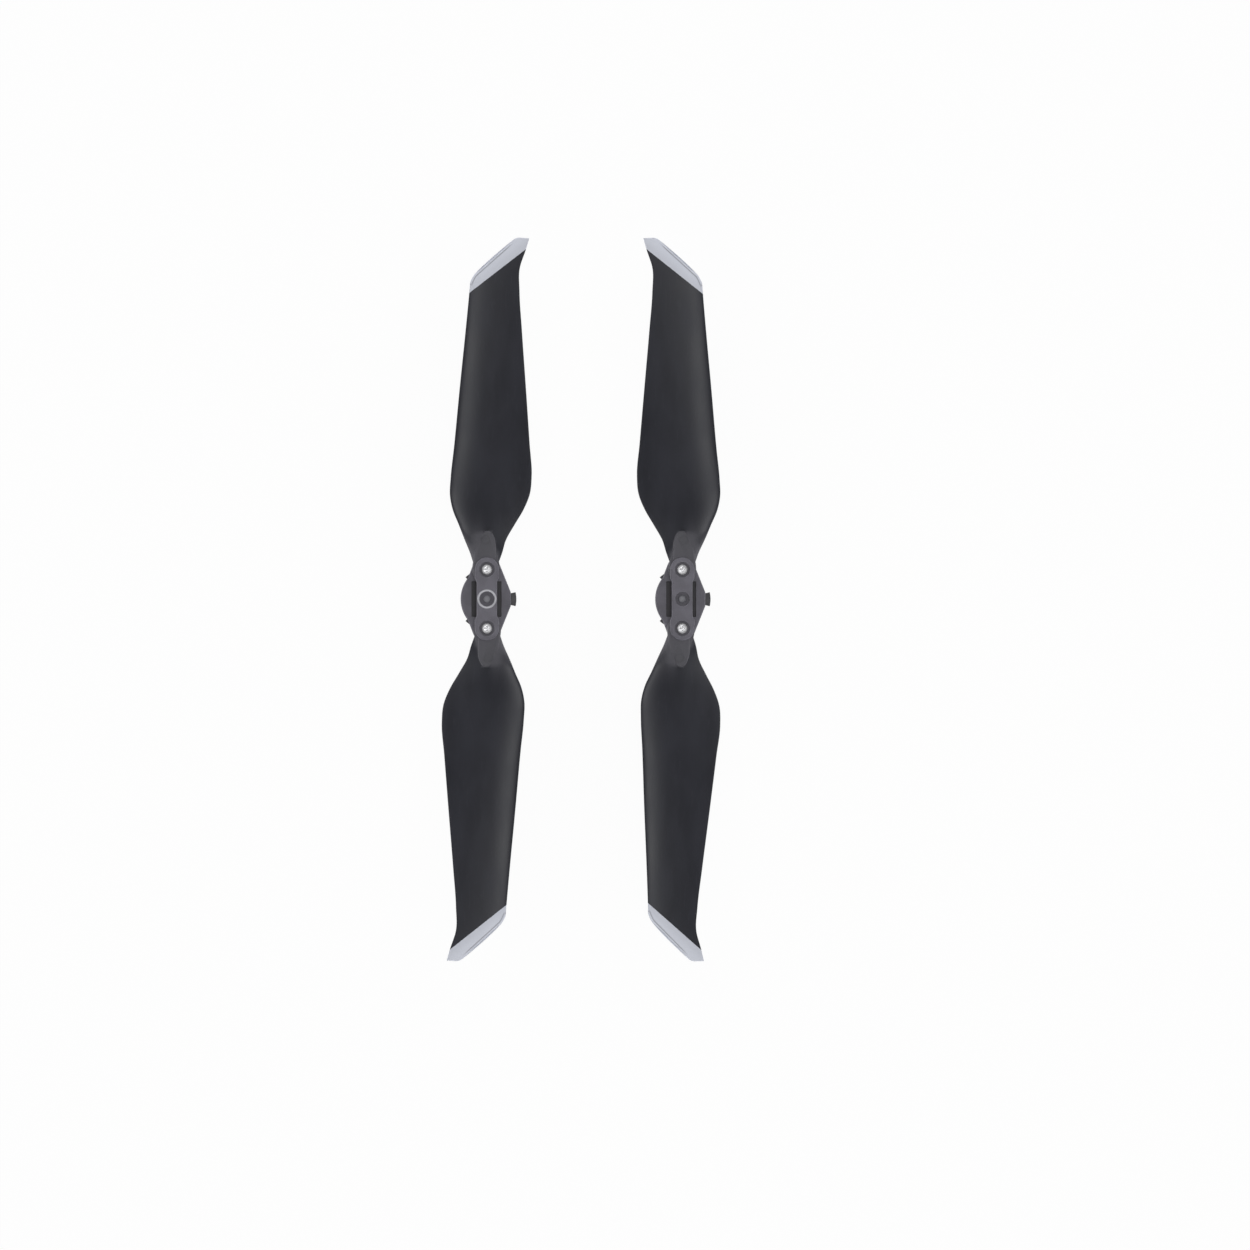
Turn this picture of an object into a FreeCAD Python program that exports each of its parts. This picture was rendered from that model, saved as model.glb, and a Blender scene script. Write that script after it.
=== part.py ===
"""A pair of folding quick-release propellers for a small camera drone, one of each hand.

Each propeller is a hub with two swept-tip blades.  The hub is a flat base plate with two finger wings, a
three-lug bayonet ring screwed under it, and a bar clamped over the blade roots by two pivot screws.  Each
blade swings on a steel sleeve between two thrust washers.  The counter-clockwise propeller carries a pale
marker ring round its centre recess.  Lengths are millimetres, angles are degrees, +Z is up and Z = 0 is the
surface that the bayonet rings stand on.  The pair lies with its blades along Y, centred on the origin.
"""
import FreeCAD, Part
import math
import os

import Sketcher
from FreeCAD import Placement, Rotation, Vector

SIZES = {
    # the pair
    "hub_spacing": (56.8, "between the two hub axes, along X"),
    "pair_offset": (0.9, "shift along X that centres the pair's outline on the origin"),
    # the blade
    "prop_diameter": (210.8, "circle swept by the blade tips"),
    "blade_chord": (23.8, "widest chord seen from above"),
    "blade_pitch": (78.7, "advance per turn"),
    "root_pitch_limit": (20.0, "largest blade angle"),
    "blade_camber": (0.045, "camber as a share of the chord"),
    "spar_thickness": (3.0, "section thickness at the neck"),
    "tip_thickness": (0.75, "section thickness at the tip"),
    "trailing_edge": (0.3, "thickness of the trailing edge"),
    "neck_radius": (4.2, "half width of the blade neck"),
    "neck_length": (3.0, "straight neck beyond the pivot"),
    "twist_length": (12.5, "from the pivot to the full blade angle"),
    "root_height": (3.3, "height of the blade root between its washers"),
    "tongue_length": (11.9, "raised flat on the root, from the pivot"),
    "tongue_rise": (0.25, "height of the raised flat over the washer seat"),
    "tongue_edge": (0.35, "rounding of the raised flat's edge"),
    "seat_radius": (3.85, "washer seat sunk in the raised flat"),
    # the pivots
    "pivot_radius": (8.55, "from the hub axis to each blade pivot"),
    "fold_play": (0.05, "axial gap on each side of the blade root"),
    "sleeve_radius": (1.5, "outside of the pivot sleeve"),
    "sleeve_clearance": (0.03, "radial gap between sleeve and blade"),
    "washer_radius": (3.2, "outside of the thrust washers"),
    "washer_thickness": (0.25, "each thrust washer"),
    "shank_radius": (0.8, "pivot screw shank"),
    "shank_clearance": (0.05, "radial gap round the shank"),
    "screw_head_radius": (1.5, "pivot screw head"),
    "screw_head_height": (0.8, "pivot screw head"),
    "screw_head_edge": (0.15, "chamfer on the pivot screw head"),
    "screw_head_sink": (0.2, "screw head below the top of the bar"),
    "head_gap": (0.7, "radial gap round the screw head"),
    "drive_width": (0.36, "arm of the cross recess in a pivot screw"),
    "drive_length": (1.5, "across the cross recess in a pivot screw"),
    "drive_depth": (0.4, "depth of the cross recess"),
    "insert_radius": (1.35, "body of the threaded insert"),
    "insert_flange_radius": (2.0, "flange of the threaded insert"),
    "insert_flange": (0.4, "thickness of the insert's flange"),
    "insert_height": (1.7, "whole height of the threaded insert"),
    # the hub
    "bar_half_width": (3.5, "half width of the bar at its ends"),
    "bar_waist": (2.95, "half width of the bar's waist"),
    "waist_half_length": (5.3, "half length of the bar's waist"),
    "bar_thickness": (1.9, "bar over the blade roots"),
    "bar_edge": (0.4, "chamfer round the top of the bar"),
    "recess_radius": (2.05, "centre recess in the bar"),
    "recess_depth": (1.2, "centre recess in the bar"),
    "marker_radius": (2.8, "outside of the marker ring"),
    "marker_thickness": (0.4, "marker ring"),
    "pin_radius": (1.15, "centre pin that locates bar on base"),
    "pin_rise": (0.8, "centre pin above the floor of the recess"),
    "pin_length": (3.0, "centre pin"),
    "pin_dome": (0.25, "chamfer on the ends of the centre pin"),
    "core_half_width": (2.85, "half width of the core between the blade roots"),
    "core_clearance": (0.35, "gap between the core and a folded blade neck"),
    "base_thickness": (2.0, "base plate"),
    "base_edge": (0.5, "rounding of the plate's top edge"),
    "wing_reach": (7.5, "round finger wing, from the hub axis"),
    "wing_arc": (10.0, "radius of the round finger wing"),
    "wing_half_width": (6.2, "half width of the round finger wing"),
    "apex_reach": (7.9, "apex of the pointed wing before it is cut square"),
    "apex_cut": (7.1, "square end of the pointed wing"),
    "pad_radius": (4.15, "base plate round each pivot"),
    "slot_reach": (4.35, "outer side of the slots beside the core"),
    "slot_half_length": (5.2, "half length of the slots"),
    "slot_floor": (0.6, "plate left under the slots"),
    # the bayonet
    "shaft_bore": (1.8, "radius of the bore for the motor shaft"),
    "shaft_bore_depth": (4.0, "depth of that bore"),
    "ring_bore": (4.0, "radius of the opening in the bayonet ring"),
    "ring_radius": (6.8, "outside of the bayonet ring"),
    "ring_height": (2.2, "bayonet ring"),
    "lug_radius": (8.8, "reach of the bayonet lugs"),
    "lug_height": (1.5, "bayonet lugs"),
    "lug_half_angle": (13.5, "half of the angle that a lug spans"),
    "ring_screw_angle": (25.0, "angle of each ring screw from the X axis"),
    "ring_screw_land": (0.45, "ring wall left on each side of a ring screw's head"),
    "ring_screw_sink": (0.1, "ring screw head below the ring's face"),
    "ring_screw_head_height": (0.6, "ring screw head"),
    "ring_screw_shank": (0.5, "radius of a ring screw shank"),
    "ring_screw_bite": (1.2, "ring screw shank inside the base"),
    "ring_slot_width": (0.3, "driver slot in a ring screw"),
    "ring_slot_length": (1.3, "driver slot in a ring screw"),
    # how far each blade lies off the line through its hub: positive turns it counter-clockwise
    "ccw_swing_a": (-0.3, "blade a, pointing along +Y"),
    "ccw_swing_b": (0.2, "blade b, pointing along -Y"),
    "cw_swing_a": (-0.5, "blade a, pointing along +Y"),
    "cw_swing_b": (-3.15, "blade b, pointing along -Y"),
}

# Blade stations from neck to tip: leading edge (share of diameter / 2 along the span, share of chord across),
# trailing edge (the same), and thickness as a share of the way from tip thickness to spar thickness.
BLADE_STATIONS = [
    ((0.100, -0.172), (0.100, 0.172), 0.90),
    ((0.128, -0.206), (0.128, 0.204), 0.72),
    ((0.163, -0.272), (0.163, 0.246), 0.55),
    ((0.205, -0.347), (0.205, 0.340), 0.43),
    ((0.245, -0.420), (0.245, 0.445), 0.35),
    ((0.285, -0.455), (0.290, 0.527), 0.30),
    ((0.330, -0.448), (0.340, 0.550), 0.27),
    ((0.420, -0.407), (0.430, 0.522), 0.23),
    ((0.580, -0.342), (0.580, 0.473), 0.17),
    ((0.740, -0.273), (0.740, 0.419), 0.11),
    ((0.830, -0.236), (0.850, 0.386), 0.06),
    ((0.880, -0.217), (0.915, 0.388), 0.02),
    ((0.935, -0.196), (0.965, 0.460), 0.00),
    ((0.990, -0.175), (1.020, 0.530), 0.00),
]

# Chordwise shares at which a section is drawn, from the trailing edge round the nose.
SECTION_STEPS = [1.0, 0.8, 0.55, 0.3, 0.12, 0.03]

# The swept tip: its outline as (share of diameter / 2 along the span, share of chord across).
TIP_NOSE = [(0.847, -0.246), (0.876, -0.215), (0.8955, -0.168)]
TIP_SHOULDER = [(0.9905, 0.295), (0.9965, 0.333), (0.9990, 0.380)]
TIP_POINT = (0.9975, 0.480)


class Size:
    """A size that knows both its value and the spreadsheet expression that gives it."""

    def __init__(self, value, text):
        self.value = float(value)
        self.text = text

    @staticmethod
    def of(other):
        return other if isinstance(other, Size) else Size(other, repr(float(other)))

    def __add__(self, other):
        other = Size.of(other)
        return Size(self.value + other.value, f"({self.text} + {other.text})")

    def __sub__(self, other):
        other = Size.of(other)
        return Size(self.value - other.value, f"({self.text} - {other.text})")

    def __mul__(self, other):
        other = Size.of(other)
        return Size(self.value * other.value, f"({self.text} * {other.text})")

    def __truediv__(self, other):
        other = Size.of(other)
        return Size(self.value / other.value, f"({self.text} / {other.text})")

    def __rsub__(self, other):
        return Size.of(other) - self

    def __neg__(self):
        return Size(-self.value, f"(-1 * {self.text})")

    __radd__ = __add__
    __rmul__ = __mul__


def root(size):
    return Size(math.sqrt(size.value), f"sqrt({size.text})")


def cosine(angle):
    return Size(math.cos(math.radians(angle.value)), f"cos({angle.text})")


def sine(angle):
    return Size(math.sin(math.radians(angle.value)), f"sin({angle.text})")


def fill_sheet(doc):
    """Writes the driving dimensions to the document's sheet and returns them by name."""
    sheet = doc.addObject("Spreadsheet::Sheet", "sizes")
    named = {}
    for row, (name, (value, note)) in enumerate(SIZES.items(), start=1):
        sheet.set(f"A{row}", name)
        sheet.set(f"B{row}", str(value))
        sheet.setAlias(f"B{row}", name)
        sheet.set(f"C{row}", note)
        named[name] = Size(value, f"sizes.{name}")
    doc.recompute()
    return named


# ---------------------------------------------------------------- sketches and features

def start_sketch(body, name, plane="XY_Plane", level=None):
    """An empty sketch on one of the body's own origin planes, raised to a level."""
    sketch = body.newObject("Sketcher::SketchObject", f"{body.Name}_{name}")
    support = next(f for f in body.Origin.OriginFeatures if f.Role == plane)
    sketch.AttachmentSupport = [(support, "")]
    sketch.MapMode = "FlatFace"
    if level is not None:
        sketch.setExpression(".AttachmentOffset.Base.z", level.text)
    return sketch


def bind(sketch, kind, target, size):
    """Adds a constraint and binds its value to the sheet."""
    index = sketch.addConstraint(Sketcher.Constraint(kind, *target, size.value))
    sketch.setExpression(f"Constraints[{index}]", size.text)


def draw_circle(sketch, x, y, radius):
    centre = Vector(x.value, y.value, 0)
    index = sketch.addGeometry(Part.Circle(centre, Vector(0, 0, 1), radius.value))
    bind(sketch, "DistanceX", (index, 3), x)
    bind(sketch, "DistanceY", (index, 3), y)
    bind(sketch, "Radius", (index,), radius)


def arc_between(start, end, radius, side):
    """The short arc from start to end whose centre lies to the left (side 1) or right (side -1) of the path."""
    across = end - start
    middle = (start + end) / 2
    left = Vector(-across.y, across.x, 0).normalize()
    offset = math.sqrt(max(radius ** 2 - across.Length ** 2 / 4, 0.0))
    centre = middle + left * (side * offset)
    angles = [math.atan2(p.y - centre.y, p.x - centre.x) for p in (start, end)]
    if side < 0:
        angles.reverse()
    circle = Part.Circle(centre, Vector(0, 0, 1), radius)
    return Part.ArcOfCircle(circle, angles[0], angles[1])


def draw_outline(sketch, corners):
    """A closed outline.  A corner is (x, y), or (x, y, radius, side) where an arc leaves it for the next."""
    points = [Vector(c[0].value, c[1].value, 0) for c in corners]
    ends = []
    for number, corner in enumerate(corners):
        start, end = points[number], points[(number + 1) % len(points)]
        if len(corner) == 2:
            index = sketch.addGeometry(Part.LineSegment(start, end))
            ends.append((index, 1, 2))
            continue
        radius, side = corner[2], corner[3]
        index = sketch.addGeometry(arc_between(start, end, radius.value, side))
        ends.append((index, 1, 2) if side > 0 else (index, 2, 1))
        bind(sketch, "Radius", (index,), radius)
    for number, corner in enumerate(corners):
        index, first, _ = ends[number]
        before, _, last = ends[number - 1]
        sketch.addConstraint(Sketcher.Constraint("Coincident", before, last, index, first))
        bind(sketch, "DistanceX", (index, first), corner[0])
        bind(sketch, "DistanceY", (index, first), corner[1])


def rectangle(left, right, low, high):
    return [(left, low), (right, low), (right, high), (left, high)]


def new_body(doc, label, across=None, along=None):
    """A PartDesign body with its place bound to the sheet."""
    body = doc.addObject("PartDesign::Body", label)
    body.Label = label
    body.AllowCompound = True
    if across is not None:
        body.setExpression(".Placement.Base.x", across.text)
    if along is not None:
        body.setExpression(".Placement.Base.y", along.text)
    return body


def finish_feature(body, feature, sketch):
    sketch.Visibility = False
    body.Document.recompute()
    body.Tip = feature
    return feature


def pad(body, name, low, high, draw):
    """Adds material between two levels inside what draw(sketch) draws."""
    sketch = start_sketch(body, name, level=low)
    draw(sketch)
    feature = body.newObject("PartDesign::Pad", f"{body.Name}_{name}_pad")
    feature.Profile = sketch
    feature.setExpression("Length", (high - low).text)
    return finish_feature(body, feature, sketch)


def pocket(body, name, low, high, draw):
    """Removes material from the upper level down to the lower one."""
    sketch = start_sketch(body, name, level=high)
    draw(sketch)
    volume = body.Shape.Volume
    feature = body.newObject("PartDesign::Pocket", f"{body.Name}_{name}_pocket")
    feature.Profile = sketch
    feature.setExpression("Length", (high - low).text)
    finish_feature(body, feature, sketch)
    if not body.Shape.Volume < volume:
        raise RuntimeError(f"{feature.Name} removed nothing")
    return feature


def turn(body, name, corners):
    """Adds a turned shape from its half section: corners are (radius, level)."""
    sketch = start_sketch(body, name, plane="XZ_Plane")
    draw_outline(sketch, corners)
    feature = body.newObject("PartDesign::Revolution", f"{body.Name}_{name}_turned")
    feature.Profile = sketch
    feature.ReferenceAxis = (sketch, ["V_Axis"])
    feature.Angle = 360
    return finish_feature(body, feature, sketch)


def repeat_round(body, feature, sketch_axis, count):
    """A polar pattern of one feature round the body's vertical axis."""
    pattern = body.newObject("PartDesign::PolarPattern", f"{feature.Name}_round")
    pattern.Originals = [feature]
    pattern.Axis = (sketch_axis, ["N_Axis"])
    pattern.Angle = 360
    pattern.Occurrences = count
    body.Document.recompute()
    body.Tip = pattern
    return pattern


def soften(body, kind, name, level, size):
    """Rounds or chamfers every edge of the last feature that lies wholly at one level."""
    shaped = body.Tip
    boxes = [edge.BoundBox for edge in shaped.Shape.Edges]
    names = [f"Edge{number}" for number, box in enumerate(boxes, start=1)
             if max(abs(box.ZMin - level.value), abs(box.ZMax - level.value)) < 1e-4]
    feature = body.newObject(kind, f"{body.Name}_soft_edge")
    feature.Base = (shaped, names)
    feature.setExpression(name, size.text)
    body.Document.recompute()
    body.Tip = feature
    return feature


# ---------------------------------------------------------------- levels shared by the pieces

class Levels:
    """Heights of the stack, from the table to the top of the bar, all worked out from the sheet."""

    def __init__(self, s):
        self.table = Size(0, "0")
        self.base_bottom = s["ring_height"]
        self.base_top = self.base_bottom + s["base_thickness"]
        self.root_bottom = self.base_top + s["washer_thickness"] + s["fold_play"]
        self.root_top = self.root_bottom + s["root_height"]
        self.bar_bottom = self.root_top + s["fold_play"] + s["washer_thickness"]
        self.bar_top = self.bar_bottom + s["bar_thickness"]
        self.head_top = self.bar_top - s["screw_head_sink"]
        self.head_bottom = self.head_top - s["screw_head_height"]
        self.recess_floor = self.bar_top - s["recess_depth"]
        self.pin_top = self.recess_floor + s["pin_rise"]
        self.pin_bottom = self.pin_top - s["pin_length"]
        self.bore_end = self.base_bottom + s["shaft_bore_depth"]
        self.insert_top = self.base_bottom + s["insert_height"]
        self.ring_screw_top = self.base_bottom + s["ring_screw_bite"]


# ---------------------------------------------------------------- hub pieces

def make_lock_ring(doc, label, s, level, hub):
    """The bayonet ring: three lugs round its foot, and counterbored holes for its screws."""
    body = new_body(doc, label, hub)
    zero = level.table
    pad(body, "ring", zero, s["ring_height"],
        lambda sketch: draw_circle(sketch, zero, zero, s["ring_radius"]))
    inside, outside, half = s["ring_bore"], s["lug_radius"], s["lug_half_angle"]
    corners = [
        (inside * cosine(half), -(inside * sine(half))),
        (outside * cosine(half), -(outside * sine(half)), outside, 1),
        (outside * cosine(half), outside * sine(half)),
        (inside * cosine(half), inside * sine(half)),
    ]
    lug = pad(body, "lug", zero, s["lug_height"], lambda sketch: draw_outline(sketch, corners))
    repeat_round(body, lug, lug.Profile[0], 3)
    pocket(body, "bore", zero, s["ring_height"],
           lambda sketch: draw_circle(sketch, zero, zero, s["ring_bore"]))
    head_top = s["ring_screw_sink"] + s["ring_screw_head_height"]
    at_ring_screws(pocket, body, "shank_holes", s, s["ring_screw_shank"] + s["shank_clearance"], zero,
                   s["ring_height"])
    at_ring_screws(pocket, body, "head_holes", s, ring_screw_head(s) + s["shank_clearance"], zero, head_top)
    return body


def ring_screw_head(s):
    """Radius of a ring screw's head, as wide as the ring's wall allows."""
    return (s["ring_radius"] - s["ring_bore"]) / 2 - s["ring_screw_land"]


def ring_screw_places(s):
    """Centres of the four ring screws, in the middle of the ring's wall and clear of the slots above."""
    circle = (s["ring_radius"] + s["ring_bore"]) / 2
    x, y = circle * cosine(s["ring_screw_angle"]), circle * sine(s["ring_screw_angle"])
    return [(x, y), (-x, y), (-x, -y), (x, -y)]


def at_ring_screws(feature, body, name, s, radius, low, high):
    """Pads or pockets a circle at each ring screw."""
    def draw(sketch):
        for x, y in ring_screw_places(s):
            draw_circle(sketch, x, y, radius)
    return feature(body, name, low, high, draw)


def make_ring_screws(doc, label, s, level, hub):
    """Four small screws that hold the bayonet ring to the base, as separate solids in one node."""
    body = new_body(doc, label, hub)
    low = s["ring_screw_sink"]
    head_top = low + s["ring_screw_head_height"]

    def slots(sketch):
        reach, half = s["ring_slot_length"] / 2, s["ring_slot_width"] / 2
        for x, y in ring_screw_places(s):
            draw_outline(sketch, rectangle(x - reach, x + reach, y - half, y + half))

    at_ring_screws(pad, body, "heads", s, ring_screw_head(s), low, head_top)
    at_ring_screws(pad, body, "shanks", s, s["ring_screw_shank"], low, level.ring_screw_top)
    pocket(body, "slots", low, low + s["ring_screw_head_height"] / 2, slots)
    return body


def touch_point(s, x, y, side):
    """Where the tangent from (x, y) meets the upper pivot pad; side 1 takes the tangent on the right."""
    pivot, radius = s["pivot_radius"], s["pad_radius"]
    span = root(x * x + (y - pivot) * (y - pivot))
    cos_b = radius / span
    sin_b = side * root(Size(1, "1") - cos_b * cos_b)
    away_x, away_y = x / span, (y - pivot) / span
    return (radius * (away_x * cos_b - away_y * sin_b),
            pivot + radius * (away_x * sin_b + away_y * cos_b))


def plate_outline(s, level):
    """Outline of the base plate: round wing on -X, pointed wing on +X cut square, and a pad at each pivot."""
    apex, cut = s["apex_reach"], s["apex_cut"]
    right_x, right_y = touch_point(s, apex, level.table, 1)
    cut_y = right_y * (apex - cut) / (apex - right_x)
    arc, edge_y = s["wing_arc"], s["wing_half_width"]
    edge_x = arc - s["wing_reach"] - root(arc * arc - edge_y * edge_y)
    left_x, left_y = touch_point(s, edge_x, edge_y, -1)
    pad_radius = s["pad_radius"]
    return [
        (cut, -cut_y),
        (cut, cut_y),
        (right_x, right_y, pad_radius, 1),
        (left_x, left_y),
        (edge_x, edge_y, arc, 1),
        (edge_x, -edge_y),
        (left_x, -left_y, pad_radius, 1),
        (right_x, -right_y),
    ]


def make_hub_base(doc, label, s, level, hub):
    """The base plate with its wings, the core that carries the bar, and the bore for the motor shaft."""
    body = new_body(doc, label, hub)
    zero, pivot = level.table, s["pivot_radius"]

    def slots(sketch):
        half = s["slot_half_length"]
        draw_outline(sketch, rectangle(s["core_half_width"], s["slot_reach"], -half, half))
        draw_outline(sketch, rectangle(-s["slot_reach"], -s["core_half_width"], -half, half))

    def pivot_holes(radius):
        def draw(sketch):
            draw_circle(sketch, zero, pivot, radius)
            draw_circle(sketch, zero, -pivot, radius)
        return draw

    pad(body, "plate", level.base_bottom, level.base_top,
        lambda sketch: draw_outline(sketch, plate_outline(s, level)))
    soften(body, "PartDesign::Fillet", "Radius", level.base_top, s["base_edge"])
    half_y = pivot - s["neck_radius"] - s["core_clearance"]
    pad(body, "core", level.base_bottom, level.bar_bottom,
        lambda sketch: draw_outline(sketch, rectangle(-s["core_half_width"], s["core_half_width"], -half_y, half_y)))
    pocket(body, "slots", level.base_bottom + s["slot_floor"], level.base_top, slots)
    pocket(body, "shaft_bore", level.base_bottom, level.bore_end,
           lambda sketch: draw_circle(sketch, zero, zero, s["shaft_bore"]))
    pocket(body, "pin_hole", level.pin_bottom, level.bar_bottom,
           lambda sketch: draw_circle(sketch, zero, zero, s["pin_radius"]))
    pocket(body, "shank_holes", level.base_bottom, level.base_top,
           pivot_holes(s["shank_radius"] + s["shank_clearance"]))
    pocket(body, "insert_holes", level.base_bottom, level.insert_top, pivot_holes(s["insert_radius"]))
    pocket(body, "flange_holes", level.base_bottom, level.base_bottom + s["insert_flange"],
           pivot_holes(s["insert_flange_radius"]))
    at_ring_screws(pocket, body, "ring_screw_holes", s, s["ring_screw_shank"], level.base_bottom,
                   level.ring_screw_top)
    return body


def make_hub_bar(doc, label, s, level, hub, marked):
    """The bar over the blade roots, with sunk screw seats and a centre recess, stepped for the marker ring."""
    body = new_body(doc, label, hub)
    zero, pivot = level.table, s["pivot_radius"]
    bar_side = s["bar_half_width"]
    low, high = level.bar_bottom, level.bar_top

    def at_pivots(radius):
        def draw(sketch):
            draw_circle(sketch, zero, pivot, radius)
            draw_circle(sketch, zero, -pivot, radius)
        return draw

    waist, half = s["bar_waist"], s["waist_half_length"]
    flare = half + bar_side - waist
    middle = [
        (waist, -half), (waist, half), (bar_side, flare), (bar_side, pivot), (-bar_side, pivot),
        (-bar_side, flare), (-waist, half), (-waist, -half), (-bar_side, -flare), (-bar_side, -pivot),
        (bar_side, -pivot), (bar_side, -flare),
    ]
    pad(body, "middle", low, high, lambda sketch: draw_outline(sketch, middle))
    pad(body, "ends", low, high, at_pivots(bar_side))
    soften(body, "PartDesign::Chamfer", "Size", high, s["bar_edge"])
    pocket(body, "shank_holes", low, high, at_pivots(s["shank_radius"] + s["shank_clearance"]))
    pocket(body, "head_seats", level.head_bottom, high, at_pivots(s["screw_head_radius"] + s["head_gap"]))
    pocket(body, "recess", level.recess_floor, high,
           lambda sketch: draw_circle(sketch, zero, zero, s["recess_radius"]))
    if marked:
        pocket(body, "marker_step", high - s["marker_thickness"], high,
               lambda sketch: draw_circle(sketch, zero, zero, s["marker_radius"]))
    pocket(body, "pin_hole", low, level.recess_floor,
           lambda sketch: draw_circle(sketch, zero, zero, s["pin_radius"]))
    return body


def make_marker_ring(doc, label, s, level, hub):
    body = new_body(doc, label, hub)
    low, high = level.bar_top - s["marker_thickness"], level.bar_top
    inner, outer = s["recess_radius"], s["marker_radius"]
    turn(body, "ring", [(inner, low), (outer, low), (outer, high), (inner, high)])
    return body


def make_centre_pin(doc, label, s, level, hub):
    body = new_body(doc, label, hub)
    zero, radius, dome = level.table, s["pin_radius"], s["pin_dome"]
    low, high = level.pin_bottom, level.pin_top
    turn(body, "pin", [
        (zero, low), (radius - dome, low), (radius, low + dome),
        (radius, high - dome), (radius - dome, high), (zero, high),
    ])
    return body


# ---------------------------------------------------------------- pivot pieces

def make_pivot_screw(doc, label, s, level, hub, along):
    """A low-headed screw with a cross recess."""
    body = new_body(doc, label, hub, along)
    zero, edge = level.table, s["screw_head_edge"]
    head, shank = s["screw_head_radius"], s["shank_radius"]
    turn(body, "screw", [
        (zero, level.base_bottom), (shank, level.base_bottom), (shank, level.head_bottom),
        (head, level.head_bottom), (head, level.head_top - edge), (head - edge, level.head_top),
        (zero, level.head_top),
    ])
    arm, reach = s["drive_width"] / 2, s["drive_length"] / 2
    cross = [
        (-reach, -arm), (-arm, -arm), (-arm, -reach), (arm, -reach), (arm, -arm), (reach, -arm),
        (reach, arm), (arm, arm), (arm, reach), (-arm, reach), (-arm, arm), (-reach, arm),
    ]
    pocket(body, "drive", level.head_top - s["drive_depth"], level.head_top,
           lambda sketch: draw_outline(sketch, cross))
    return body


def make_tube(doc, label, hub, along, inner, outer, low, high):
    """A plain turned ring, such as a sleeve or a washer."""
    body = new_body(doc, label, hub, along)
    turn(body, "tube", [(inner, low), (outer, low), (outer, high), (inner, high)])
    return body


def make_insert(doc, label, s, level, hub, along):
    """A brass threaded insert, flanged at its lower end."""
    body = new_body(doc, label, hub, along)
    inner, outer, flange = s["shank_radius"], s["insert_radius"], s["insert_flange_radius"]
    low, high = level.base_bottom, level.insert_top
    step = low + s["insert_flange"]
    turn(body, "insert", [
        (inner, low), (flange, low), (flange, step), (outer, step), (outer, high), (inner, high),
    ])
    return body


# ---------------------------------------------------------------- the blade

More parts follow.
